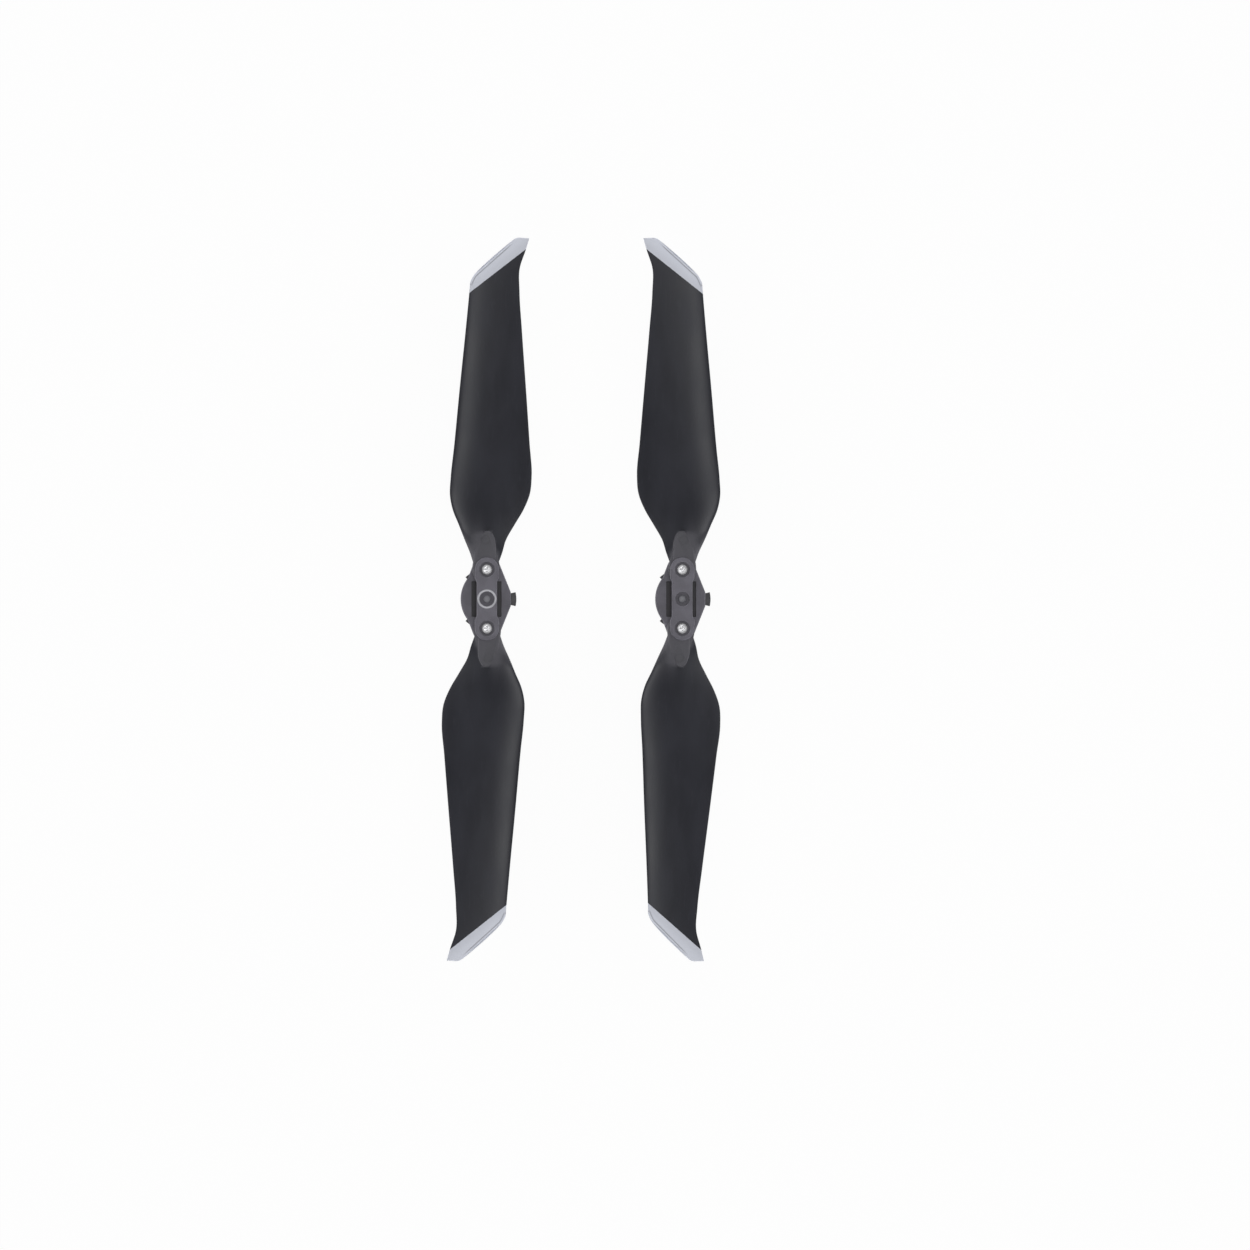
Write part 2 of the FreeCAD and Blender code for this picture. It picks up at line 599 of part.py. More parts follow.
class BladeShape:
    """The blade of the counter-clockwise propeller, pointing along +Y with its pivot on the Z axis."""

    def __init__(self, sheet, level):
        self.get = lambda name: float(sheet.get(name))
        self.level = level
        self.tip = self.get("prop_diameter") / 2
        self.chord = self.get("blade_chord")
        self.pivot = self.get("pivot_radius")
        self.mid_height = (level.root_bottom.value + level.root_top.value) / 2

    def place(self, share_along, share_across):
        """A point of the plan: shares of the tip radius and of the widest chord."""
        return Vector(share_across * self.chord, share_along * self.tip - self.pivot, 0)

    def angle_at(self, radius):
        """Blade angle at a radius: constant pitch outboard, faded out towards the flat root."""
        helix = math.degrees(math.atan(self.get("blade_pitch") / (2 * math.pi * radius)))
        limit = self.get("root_pitch_limit")
        flat_until = self.pivot + self.get("neck_length")
        full_from = self.pivot + self.get("twist_length")
        fade = min(max((radius - flat_until) / (full_from - flat_until), 0.0), 1.0)
        return min(helix, limit) * fade * fade * (3 - 2 * fade)

    def section(self, station):
        """One closed airfoil wire: a curve round the nose and a short straight trailing edge."""
        nose, tail, share = station
        lead, trail = self.place(*nose), self.place(*tail)
        for point in (lead, trail):
            radius = math.hypot(point.x, point.y + self.pivot)
            point.z = self.mid_height - point.x * math.tan(math.radians(self.angle_at(radius)))
        thick = self.get("tip_thickness") + share * (self.get("spar_thickness") - self.get("tip_thickness"))
        chord = trail - lead
        flat = Vector(-chord.y, chord.x, 0).normalize()
        normal = chord.cross(flat).normalize()
        if normal.z < 0:
            normal = normal * -1
        camber = self.get("blade_camber") * (1 - share) * chord.Length
        blunt = self.get("trailing_edge") / 2

        def at(step, side):
            half = 5 * thick * (0.2969 * math.sqrt(step) - 0.1260 * step - 0.3516 * step ** 2
                                + 0.2843 * step ** 3 - 0.1036 * step ** 4) + blunt * step
            rise = camber * 4 * step * (1 - step)
            return lead + chord * step + normal * (rise + side * half)

        upper = [at(step, 1) for step in SECTION_STEPS]
        lower = [at(step, -1) for step in reversed(SECTION_STEPS)]
        curve = Part.BSplineCurve()
        curve.interpolate(upper + [lead] + lower)
        return Part.Wire([curve.toShape(), Part.LineSegment(lower[-1], upper[0]).toShape()])

    def tip_prism(self):
        """Everything inboard of the swept tip's edge."""
        nose = [self.place(*p) for p in TIP_NOSE]
        shoulder = [self.place(*p) for p in TIP_SHOULDER]
        point = self.place(*TIP_POINT)
        far = self.chord * 2
        back = Vector(-far, -far, 0)
        corners = [point, Vector(far, point.y, 0), Vector(far, -far, 0), back, Vector(-far, nose[0].y, 0), nose[0]]
        edges = [Part.LineSegment(a, b).toShape() for a, b in zip(corners, corners[1:])]
        edges.append(Part.Arc(*nose).toShape())
        edges.append(Part.LineSegment(nose[-1], shoulder[0]).toShape())
        edges.append(Part.Arc(*shoulder).toShape())
        edges.append(Part.LineSegment(shoulder[-1], point).toShape())
        face = Part.Face(Part.Wire(Part.__sortEdges__(edges)))
        face.translate(Vector(0, 0, -self.chord))
        return face.extrude(Vector(0, 0, 3 * self.chord))

    def root_plan(self, length):
        """Outline of the root in plan: half round behind the pivot, half of a long ellipse in front of it."""
        radius = self.get("neck_radius")
        back = Part.ArcOfCircle(Part.Circle(Vector(0, 0, 0), Vector(0, 0, 1), radius), math.pi, 2 * math.pi)
        long_axis = Part.Ellipse(Vector(0, length, 0), Vector(-radius, 0, 0), Vector(0, 0, 0))
        front = Part.ArcOfEllipse(long_axis, -math.pi / 2, math.pi / 2)
        return Part.Face(Part.Wire(Part.__sortEdges__([back.toShape(), front.toShape()])))

    def root_block(self):
        """The flat neck that turns between the washers; its outer end is buried in the blade."""
        low, high = self.level.root_bottom.value, self.level.root_top.value
        plan = self.root_plan(self.get("neck_length") + self.get("neck_radius"))
        plan.translate(Vector(0, 0, low))
        return plan.extrude(Vector(0, 0, high - low))

    def tongue(self):
        """The raised flat on top of the root: steps down to the blade behind, runs into it in front."""
        crest = self.level.root_top.value + self.get("tongue_rise")
        plan = self.root_plan(self.get("tongue_length"))
        plan.translate(Vector(0, 0, self.mid_height))
        block = plan.extrude(Vector(0, 0, crest - self.mid_height))
        rim = [edge for edge in block.Edges if edge.BoundBox.ZMin > crest - 1e-4]
        block = block.makeFillet(self.get("tongue_edge"), rim)
        seat = Part.makeCylinder(self.get("seat_radius"), crest, Vector(0, 0, self.level.root_top.value))
        return block.cut(seat)

    def make(self):
        wing = Part.makeLoft([self.section(station) for station in BLADE_STATIONS], True, False, False)
        wing = wing.common(self.tip_prism())
        blade = self.root_block().fuse([wing, self.tongue()])
        bore = self.get("sleeve_radius") + self.get("sleeve_clearance")
        low, high = self.level.root_bottom.value, self.level.root_top.value
        blade = blade.cut(Part.makeCylinder(bore, high - low + 2, Vector(0, 0, low - 1)))
        return blade.Solids[0] if len(blade.Solids) == 1 else blade


def make_blade(doc, label, shape, hub, along, turned):
    blade = doc.addObject("Part::Feature", label)
    blade.Label = label
    blade.Shape = shape
    blade.Placement = Placement(Vector(hub.value, along.value, 0), Rotation(Vector(0, 0, 1), turned))
    return blade


# ---------------------------------------------------------------- the pair

def make_propeller(doc, s, level, hand_name, hub, shape):
    """All pieces of one propeller."""
    pieces = [
        make_lock_ring(doc, f"{hand_name}_lock_ring", s, level, hub),
        make_ring_screws(doc, f"{hand_name}_lock_ring_screws", s, level, hub),
        make_hub_base(doc, f"{hand_name}_hub_base", s, level, hub),
        make_hub_bar(doc, f"{hand_name}_hub_bar", s, level, hub, marked=hand_name == "ccw"),
        make_centre_pin(doc, f"{hand_name}_centre_pin", s, level, hub),
    ]
    if hand_name == "ccw":
        pieces.append(make_marker_ring(doc, f"{hand_name}_marker_ring", s, level, hub))
    sleeve_bore = s["shank_radius"] + s["shank_clearance"]
    washer_bore = s["sleeve_radius"] + s["shank_clearance"]
    low_washer_top = level.base_top + s["washer_thickness"]
    high_washer_bottom = level.bar_bottom - s["washer_thickness"]
    for side, facing in (("a", 0), ("b", 180)):
        along = s["pivot_radius"] if side == "a" else -s["pivot_radius"]
        turned = facing + s[f"{hand_name}_swing_{side}"].value
        pieces += [
            make_blade(doc, f"{hand_name}_blade_{side}", shape, hub, along, turned),
            make_pivot_screw(doc, f"{hand_name}_pivot_screw_{side}", s, level, hub, along),
            make_tube(doc, f"{hand_name}_pivot_sleeve_{side}", hub, along, sleeve_bore, s["sleeve_radius"],
                      level.base_top, level.bar_bottom),
            make_tube(doc, f"{hand_name}_lower_washer_{side}", hub, along, washer_bore, s["washer_radius"],
                      level.base_top, low_washer_top),
            make_tube(doc, f"{hand_name}_upper_washer_{side}", hub, along, washer_bore, s["washer_radius"],
                      high_washer_bottom, level.bar_bottom),
            make_insert(doc, f"{hand_name}_threaded_insert_{side}", s, level, hub, along),
        ]
    return pieces


def check(doc, pieces):
    """Stops if any object failed or any piece is not a valid closed solid."""
    for item in doc.Objects:
        if "Invalid" in item.State or "Error" in item.State:
            raise RuntimeError(f"{item.Name} failed: {item.State}")
    for piece in pieces:
        shape = piece.Shape
        if shape.isNull() or not shape.isValid() or not shape.Solids:
            raise RuntimeError(f"{piece.Label} is not a valid solid")


def main():
    doc = FreeCAD.newDocument("propeller_pair")
    s = fill_sheet(doc)
    level = Levels(s)
    sheet = doc.getObject("sizes")
    shape = BladeShape(sheet, level).make()
    mirrored = shape.mirror(Vector(0, 0, 0), Vector(1, 0, 0))
    left = s["pair_offset"] - s["hub_spacing"] / 2
    right = s["pair_offset"] + s["hub_spacing"] / 2
    pieces = make_propeller(doc, s, level, "ccw", left, shape)
    pieces += make_propeller(doc, s, level, "cw", right, mirrored)
    doc.recompute()
    check(doc, pieces)
    os.makedirs("parts", exist_ok=True)
    for piece in pieces:
        piece.Shape.exportStep(f"parts/{piece.Label}.step")
    print(f"{len(pieces)} pieces written")


main()
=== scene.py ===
"""A pair of folding quick-release propellers for a small camera drone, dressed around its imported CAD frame.

The counter-clockwise propeller stands on the left and the clockwise one, its mirror image, on the right.
Each is a hub with a bayonet ring under it, a bar clamped over two blade roots, and two swept-tip blades
that fold about steel pivot screws.  Lengths are metres; sizes are written in millimetres times MM.
"""
import logging
import math
from collections.abc import Callable, Iterator, Sequence
from contextlib import contextmanager
from dataclasses import dataclass, field
from enum import Enum

import bmesh
import bpy
import numpy as np
from mathutils import Matrix, Vector


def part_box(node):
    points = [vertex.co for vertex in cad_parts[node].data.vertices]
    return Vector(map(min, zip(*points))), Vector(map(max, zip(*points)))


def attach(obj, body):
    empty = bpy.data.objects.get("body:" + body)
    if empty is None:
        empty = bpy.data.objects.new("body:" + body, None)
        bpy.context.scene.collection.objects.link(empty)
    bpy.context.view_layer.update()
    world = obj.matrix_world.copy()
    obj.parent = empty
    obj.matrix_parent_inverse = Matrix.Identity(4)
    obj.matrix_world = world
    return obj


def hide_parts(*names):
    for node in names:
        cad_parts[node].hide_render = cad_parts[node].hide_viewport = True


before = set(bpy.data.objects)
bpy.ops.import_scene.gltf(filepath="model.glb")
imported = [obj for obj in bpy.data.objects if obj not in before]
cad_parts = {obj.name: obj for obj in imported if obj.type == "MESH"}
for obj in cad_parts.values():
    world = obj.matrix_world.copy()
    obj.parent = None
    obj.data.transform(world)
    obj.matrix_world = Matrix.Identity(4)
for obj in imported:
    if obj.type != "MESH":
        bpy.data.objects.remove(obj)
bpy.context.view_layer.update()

MM = 0.001
LOG = logging.getLogger("propellers")

Colour = tuple[float, float, float]
Point2 = tuple[float, float]
Piece = bpy.types.Object
Socket = bpy.types.NodeSocket
EdgeTest = Callable[[Vector, Vector], bool]
Values = np.ndarray


class Hand(Enum):
    """Which way a propeller turns, seen from above."""

    COUNTER = "ccw"
    CLOCKWISE = "cw"


class Side(Enum):
    """Which of a propeller's two blades a piece belongs to: a points along +Y and b along -Y."""

    A = "a"
    B = "b"


# ---------------------------------------------------------------- the modelling bench


def clear_selection() -> None:
    """Deselects every object."""
    bpy.ops.object.select_all(action="DESELECT")


def take(piece: Piece) -> None:
    """Makes one piece the only selected and the active object.

    Args:
        piece: The object to work on.
    """
    clear_selection()
    piece.select_set(True)
    bpy.context.view_layer.objects.active = piece


@contextmanager
def editing(piece: Piece, parts: str = "FACE") -> Iterator[bmesh.types.BMesh]:
    """Opens a piece in edit mode with nothing selected, and closes it again.

    Args:
        piece: The mesh object to work on.
        parts: What is being selected: VERT, EDGE or FACE.

    Returns:
        The edit mesh, for selecting by place or normal.
    """
    take(piece)
    bpy.ops.object.mode_set(mode="EDIT")
    bpy.ops.mesh.select_mode(type=parts)
    bpy.ops.mesh.select_all(action="DESELECT")
    yield bmesh.from_edit_mesh(piece.data)
    bpy.ops.object.mode_set(mode="OBJECT")


def settle(piece: Piece) -> None:
    """Moves a piece's place and size into its mesh, so that its object sits at the origin."""
    take(piece)
    bpy.ops.object.transform_apply(location=True, rotation=True, scale=True)


def tidy_shell(piece: Piece, gap: float = 0.0005 * MM) -> None:
    """Merges doubled points and turns every face outwards.

    Args:
        piece: The mesh object to clean.
        gap: Points nearer than this become one.
    """
    with editing(piece, "VERT"):
        bpy.ops.mesh.select_all(action="SELECT")
        bpy.ops.mesh.remove_doubles(threshold=gap)
        bpy.ops.mesh.normals_make_consistent(inside=False)


def shade(piece: Piece, angle: float = 32.0) -> None:
    """Shades a piece smooth, and keeps edges sharper than the angle in degrees."""
    take(piece)
    bpy.ops.object.shade_smooth_by_angle(angle=math.radians(angle))


def combine(piece: Piece, other: Piece, operation: str) -> None:
    """Cuts, joins or crosses two closed shapes, and uses the second one up.

    Args:
        piece, other: The shape that stays, and the one that is used up.
        operation: DIFFERENCE, UNION or INTERSECT.
    """
    modifier = piece.modifiers.new(operation.lower(), "BOOLEAN")
    modifier.operation = operation
    modifier.solver = "EXACT"
    modifier.object = other
    take(piece)
    bpy.ops.object.modifier_apply(modifier=modifier.name)
    bpy.data.objects.remove(other)


def arc(centre: Point2, radius: float, start: float, end: float, steps: int) -> list[Point2]:
    """Points on an arc, both ends included.

    Args:
        centre: Centre of the arc in plan.
        radius: Its radius.
        start, end: Angles of the first and the last point, in degrees.
        steps: Number of equal steps.

    Returns:
        steps + 1 points in order.
    """
    points = []
    for index in range(steps + 1):
        angle = math.radians(start + (end - start) * index / steps)
        points.append((centre[0] + radius * math.cos(angle), centre[1] + radius * math.sin(angle)))
    return points


def smooth(share: float | Values) -> float | Values:
    """A share from 0 to 1, eased at both ends."""
    return share * share * (3 - 2 * share)


def without_doubles(points: Sequence[Point2], gap: float = 0.01 * MM) -> list[Point2]:
    """The points of a closed outline, less those that fall on their neighbour.

    Args:
        points: The outline's points in order.
        gap: Points nearer than this count as one.

    Returns:
        The points that are left.
    """
    kept: list[Point2] = []
    for point in points:
        if not kept or math.dist(point, kept[-1]) > gap:
            kept.append(point)
    if math.dist(kept[0], kept[-1]) <= gap:
        kept.pop()
    return kept


def slab(name: str, outline: Sequence[Point2], low: float, high: float) -> Piece:
    """A plate of any outline: a disc whose rim is drawn out to the outline, then extruded upwards.

    Args:
        name: Name of the new object.
        outline: Points of the outline, counter-clockwise seen from above.
        low, high: Levels of the lower and the upper face.

    Returns:
        The new closed piece.
    """
    points = without_doubles(outline)
    clear_selection()
    bpy.ops.mesh.primitive_circle_add(vertices=len(points), radius=MM, fill_type="NGON", location=(0, 0, 0))
    piece = bpy.context.object
    piece.name = name
    loop = sorted(piece.data.vertices, key=lambda vertex: math.atan2(vertex.co.y, vertex.co.x) % math.tau)
    for vertex, point in zip(loop, points):
        vertex.co = (point[0], point[1], low)
    with editing(piece):
        bpy.ops.mesh.select_all(action="SELECT")
        bpy.ops.mesh.extrude_region_move(TRANSFORM_OT_translate={"value": (0, 0, high - low)})
        bpy.ops.mesh.select_all(action="SELECT")
        bpy.ops.mesh.normals_make_consistent(inside=False)
    return piece


def lathe(name: str, centre: Point2, profile: Sequence[Point2], tube: bool = False, steps: int = 64) -> Piece:
    """A turned shape: a circle that is extruded and resized along a profile of (radius, level) points.

    Args:
        name: Name of the new object.
        centre: Where its upright axis stands.
        profile: Points from the first ring to the last.
        tube: True where the last ring joins the first; otherwise both ends are closed with a face.
        steps: Points round each ring.

    Returns:
        The new closed piece.
    """
    clear_selection()
    radius, level = profile[0]
    fill = "NOTHING" if tube else "NGON"
    bpy.ops.mesh.primitive_circle_add(
        vertices=steps, radius=radius, fill_type=fill, location=(centre[0], centre[1], level))
    piece = bpy.context.object
    piece.name = name
    settle(piece)
    rings = list(profile[1:]) + ([profile[0]] if tube else [])
    middle = (centre[0], centre[1], 0)
    with editing(piece, "EDGE"):
        bpy.ops.mesh.select_all(action="SELECT")
        for next_radius, next_level in rings:
            bpy.ops.mesh.extrude_region_move(TRANSFORM_OT_translate={"value": (0, 0, next_level - level)})
            grow = next_radius / radius
            bpy.ops.transform.resize(value=(grow, grow, 1), center_override=middle)
            radius, level = next_radius, next_level
    tidy_shell(piece)
    return piece


def soften_edges(piece: Piece, wanted: EdgeTest, width: float, steps: int = 3) -> None:
    """Rounds the edges whose two ends are wanted.

    Args:
        piece: The mesh object to work on.
        wanted: Tells from an edge's two ends whether it is rounded.
        width: Width of the rounding.
        steps: Faces across the rounding.
    """
    with editing(piece, "EDGE") as mesh:
        for edge in mesh.edges:
            edge.select_set(wanted(edge.verts[0].co, edge.verts[1].co))
        bmesh.update_edit_mesh(piece.data)
        bpy.ops.mesh.bevel(offset=width, offset_type="OFFSET", segments=steps, profile=0.5, affect="EDGES")


def rim_at(level: float, slack: float = 0.002 * MM) -> EdgeTest:
    """Makes a test for edges that lie in one level.

    Args:
        level: Height of the level.
        slack: How far off the level an end may be.

    Returns:
        The test, as soften_edges takes it.
    """
    def wanted(first: Vector, second: Vector) -> bool:
        """True where both ends lie in the level."""
        return abs(first.z - level) < slack and abs(second.z - level) < slack
    return wanted


def copy_piece(piece: Piece, name: str, place: Matrix) -> Piece:
    """A copy with its own mesh, its place in the mesh.

    Args:
        piece, name: The piece to copy, and the copy's name.
        place: Where the copy goes, as a matrix; a mirroring one is turned right side out.

    Returns:
        The copy.
    """
    twin = piece.copy()
    twin.data = piece.data.copy()
    twin.name = name
    twin.data.name = name
    bpy.context.scene.collection.objects.link(twin)
    twin.data.transform(place)
    if place.determinant() < 0:
        twin.data.flip_normals()
    twin.data.update()
    return twin


# ---------------------------------------------------------------- finishes


def shade_of(red: float, green: float, blue: float) -> Colour:
    """Turns a paint-chart colour into linear light.

    Args:
        red, green, blue: Its channels, 0 to 255.

    Returns:
        The colour as a shader takes it.
    """
    def linear(value: float) -> float:
        """One channel as linear light."""
        share = value / 255
        return share / 12.92 if share <= 0.04045 else ((share + 0.055) / 1.055) ** 2.4
    return linear(red), linear(green), linear(blue)


def toned(colour: Colour, factor: float, lift: float = 0.0) -> Colour:
    """A colour darkened or lightened by a factor, then lifted by a little white."""
    return tuple(min(channel * factor + lift, 1.0) for channel in colour)


class Recipe:
    """A material under construction: short ways to add nodes and join them."""

    def __init__(self, name: str) -> None:
        """Starts a material with one Principled shader.

        Args:
            name: Name of the material.
        """
        self.material = bpy.data.materials.new(name)
        self.material.use_nodes = True
        self.tree = self.material.node_tree
        self.shader = self.tree.nodes["Principled BSDF"]

    def node(self, kind: str, **settings: object) -> bpy.types.Node:
        """Adds a node.

        Args:
            kind: Blender's name of the node type.
            settings: The node's own settings and their values.

        Returns:
            The new node.
        """
        made = self.tree.nodes.new(kind)
        for name, value in settings.items():
            setattr(made, name, value)
        return made

    def join(self, source: Socket | float | Colour, target: Socket) -> None:
        """Feeds a socket from another socket or with a constant.

        Args:
            source: The socket or constant that feeds it.
            target: The socket that is fed.
        """
        if isinstance(source, bpy.types.NodeSocket):
            self.tree.links.new(source, target)
        elif isinstance(source, tuple):
            target.default_value = (*source, 1.0)
        else:
            target.default_value = source

    def place(self, attribute: str | None = None) -> Socket:
        """Finds coordinates for a pattern.

        Args:
            attribute: A vector kept on the mesh; without it the object's own coordinates are taken.

        Returns:
            The coordinates.
        """
        if attribute:
            return self.node("ShaderNodeAttribute", attribute_name=attribute).outputs["Vector"]
        return self.node("ShaderNodeTexCoord").outputs["Object"]

    def measure(self, attribute: str) -> Socket:
        """A number kept on the mesh."""
        return self.node("ShaderNodeAttribute", attribute_name=attribute).outputs["Fac"]

    def shifted(self, place: Socket, shift: Sequence[float], stretch: Sequence[float] = (1, 1, 1)) -> Socket:
        """Moves and stretches coordinates with a Mapping node.

        Args:
            place: The coordinates.
            shift, stretch: What is added to them, and what they are multiplied by first.

        Returns:
            The new coordinates.
        """
        mapping = self.node("ShaderNodeMapping")
        mapping.inputs["Location"].default_value = tuple(shift)
        mapping.inputs["Scale"].default_value = tuple(stretch)
        self.join(place, mapping.inputs["Vector"])
        return mapping.outputs["Vector"]

    def noise(self, place: Socket, size: float, detail: float = 2.0, rough: float = 0.5) -> Socket:
        """Adds cloudy noise.

        Args:
            place: The coordinates that it follows.
            size: About how wide its lumps are.
            detail, rough: How many finer layers it has, and how strong they are.

        Returns:
            The noise, 0 to 1.
        """
        noise = self.node("ShaderNodeTexNoise")
        noise.inputs["Scale"].default_value = 1.0 / size
        noise.inputs["Detail"].default_value = detail
        noise.inputs["Roughness"].default_value = rough
        self.join(place, noise.inputs["Vector"])
        return noise.outputs["Fac"]

    def spots(self, place: Socket, size: float) -> Socket:
        """Adds scattered points, for flakes.

        Args:
            place: The coordinates that they follow.
            size: About how far apart they lie.

        Returns:
            The distance to the nearest point, 1 being about one size.
        """
        cells = self.node("ShaderNodeTexVoronoi")
        cells.inputs["Scale"].default_value = 1.0 / size
        self.join(place, cells.inputs["Vector"])
        return cells.outputs["Distance"]

    def spread(self, value: Socket, low: float, high: float, to_low: float, to_high: float) -> Socket:
        """Turns one range of a value smoothly into another, held at its ends.

        Args:
            value: The value.
            low, high: Where its range starts and ends.
            to_low, to_high: What comes out there.

        Returns:
            The new value.
        """
        level = self.node("ShaderNodeMapRange", clamp=True, interpolation_type="SMOOTHSTEP")
        for index, number in enumerate((low, high, to_low, to_high), start=1):
            level.inputs[index].default_value = number
        self.join(value, level.inputs[0])
        return level.outputs[0]

    def work(self, operation: str, first: Socket | float, second: Socket | float = 0.0) -> Socket:
        """Works out one sum.

        Args:
            operation: Blender's name of the sum, such as ADD.
            first, second: The numbers; some sums take only the first.

        Returns:
            The result.
        """
        sum_node = self.node("ShaderNodeMath", operation=operation)
        self.join(first, sum_node.inputs[0])
        self.join(second, sum_node.inputs[1])
        return sum_node.outputs[0]

    def blend(self, share: Socket, below: Socket | Colour, above: Socket | Colour) -> Socket:
        """Mixes two colours.

        Args:
            share: 0 for the first colour, 1 for the second.
            below, above: The first and the second colour.

        Returns:
            The mixed colour.
        """
        mix = self.node("ShaderNodeMix", data_type="RGBA")
        self.join(share, mix.inputs[0])
        self.join(below, mix.inputs[6])
        self.join(above, mix.inputs[7])
        return mix.outputs[2]

    def rounded_normal(self, width: float) -> Socket:
        """Finds the normal of the surface with its edges rounded.

        Args:
            width: Radius of the rounding.

        Returns:
            The normal.
        """
        rounded = self.node("ShaderNodeBevel", samples=6)
        rounded.inputs["Radius"].default_value = width
        return rounded.outputs["Normal"]

    def edge_share(self, width: float) -> Socket:
        """Finds edges and corners, from how far a rounded normal leaves the true one.

        Args:
            width: Width of the rounding.

        Returns:
            1 on edges and corners, 0 on open surfaces.
        """
        true = self.node("ShaderNodeNewGeometry").outputs["Normal"]
        dot = self.node("ShaderNodeVectorMath", operation="DOT_PRODUCT")
        self.join(self.rounded_normal(width), dot.inputs[0])
        self.join(true, dot.inputs[1])
        return self.spread(dot.outputs["Value"], 0.80, 0.995, 1.0, 0.0)

    def bump(self, heights: Sequence[tuple[Socket, float]], soften: float) -> None:
        """Lays several reliefs over each other on the shader's normal.

        Args:
            heights: Pairs of a height from 0 to 1 and how high 1 stands, in metres.
            soften: Radius that edges are rounded to under the relief.
        """
        normal = self.rounded_normal(soften)
        for height, rise in heights:
            relief = self.node("ShaderNodeBump")
            relief.inputs["Strength"].default_value = 1.0
            relief.inputs["Distance"].default_value = rise
            self.join(height, relief.inputs["Height"])
            self.join(normal, relief.inputs["Normal"])
            normal = relief.outputs["Normal"]
        self.join(normal, self.shader.inputs["Normal"])


@dataclass(frozen=True)
class MouldedPlastic:
    """Plastic from a spark-eroded mould: a fine grain, a cloudy tone, edges rubbed paler, and painted shade
    on the slot floors that a mesh marks.

    Attributes:
        name: Name of the material.
        colour: Main colour, linear.
        roughness: How matt the skin is.
        grain, grain_rise: Width and height of the grain.
        fleck: How much lighter the crests of the grain are, as a factor.
        cloud, cloud_size: How far the tone wanders, as a share, and how wide the clouds are.
        cloud_rise: Height of the gentle waves that go with the clouds.
        rub: How much paler the edges are, as a share of white.
        rub_width: How far in from an edge it is rubbed.
        slot_shade: How dark the painted shade on the floors of the slots is, as a factor.
        soften: Radius that sharp edges catch the light with.
    """

    name: str
    colour: Colour
    roughness: float = 0.5
    grain: float = 0.28 * MM
    grain_rise: float = 0.006 * MM
    fleck: float = 1.25
    cloud: float = 0.14
    cloud_size: float = 5 * MM
    cloud_rise: float = 0.01 * MM
    rub: float = 0.12
    rub_width: float = 0.22 * MM
    slot_shade: float = 0.3
    soften: float = 0.12 * MM

    def make(self) -> bpy.types.Material:
        """Builds the material.

        Returns:
            The finished material.
        """
        recipe = Recipe(self.name)
        place = recipe.place()
        cloud = recipe.noise(place, self.cloud_size, detail=3)
        grain = recipe.noise(place, self.grain, detail=2, rough=0.65)
        dark, light = toned(self.colour, 1 - self.cloud), toned(self.colour, 1 + self.cloud)
        tone = recipe.blend(recipe.spread(cloud, 0.3, 0.7, 0, 1), dark, light)
        fleck = toned(self.colour, self.fleck, 0.01)
        tone = recipe.blend(recipe.spread(grain, 0.56, 0.72, 0, 0.7), tone, fleck)
        patchy = recipe.spread(cloud, 0.35, 0.6, 0.35, 1.0)
        wear = recipe.work("MULTIPLY", recipe.edge_share(self.rub_width), patchy)
        tone = recipe.blend(wear, tone, toned(self.colour, 1 - self.rub, self.rub))
        # Painted shade: the slot floors that the mesh marks are darkened where shadow falls in them.
        tone = recipe.blend(recipe.measure("painted_slot_shade"), tone, toned(self.colour, self.slot_shade))
        recipe.join(tone, recipe.shader.inputs["Base Color"])
        skin = recipe.spread(grain, 0.3, 0.7, self.roughness - 0.05, self.roughness + 0.07)
        recipe.join(skin, recipe.shader.inputs["Roughness"])
        recipe.bump([(grain, self.grain_rise), (cloud, self.cloud_rise)], self.soften)
        return recipe.material


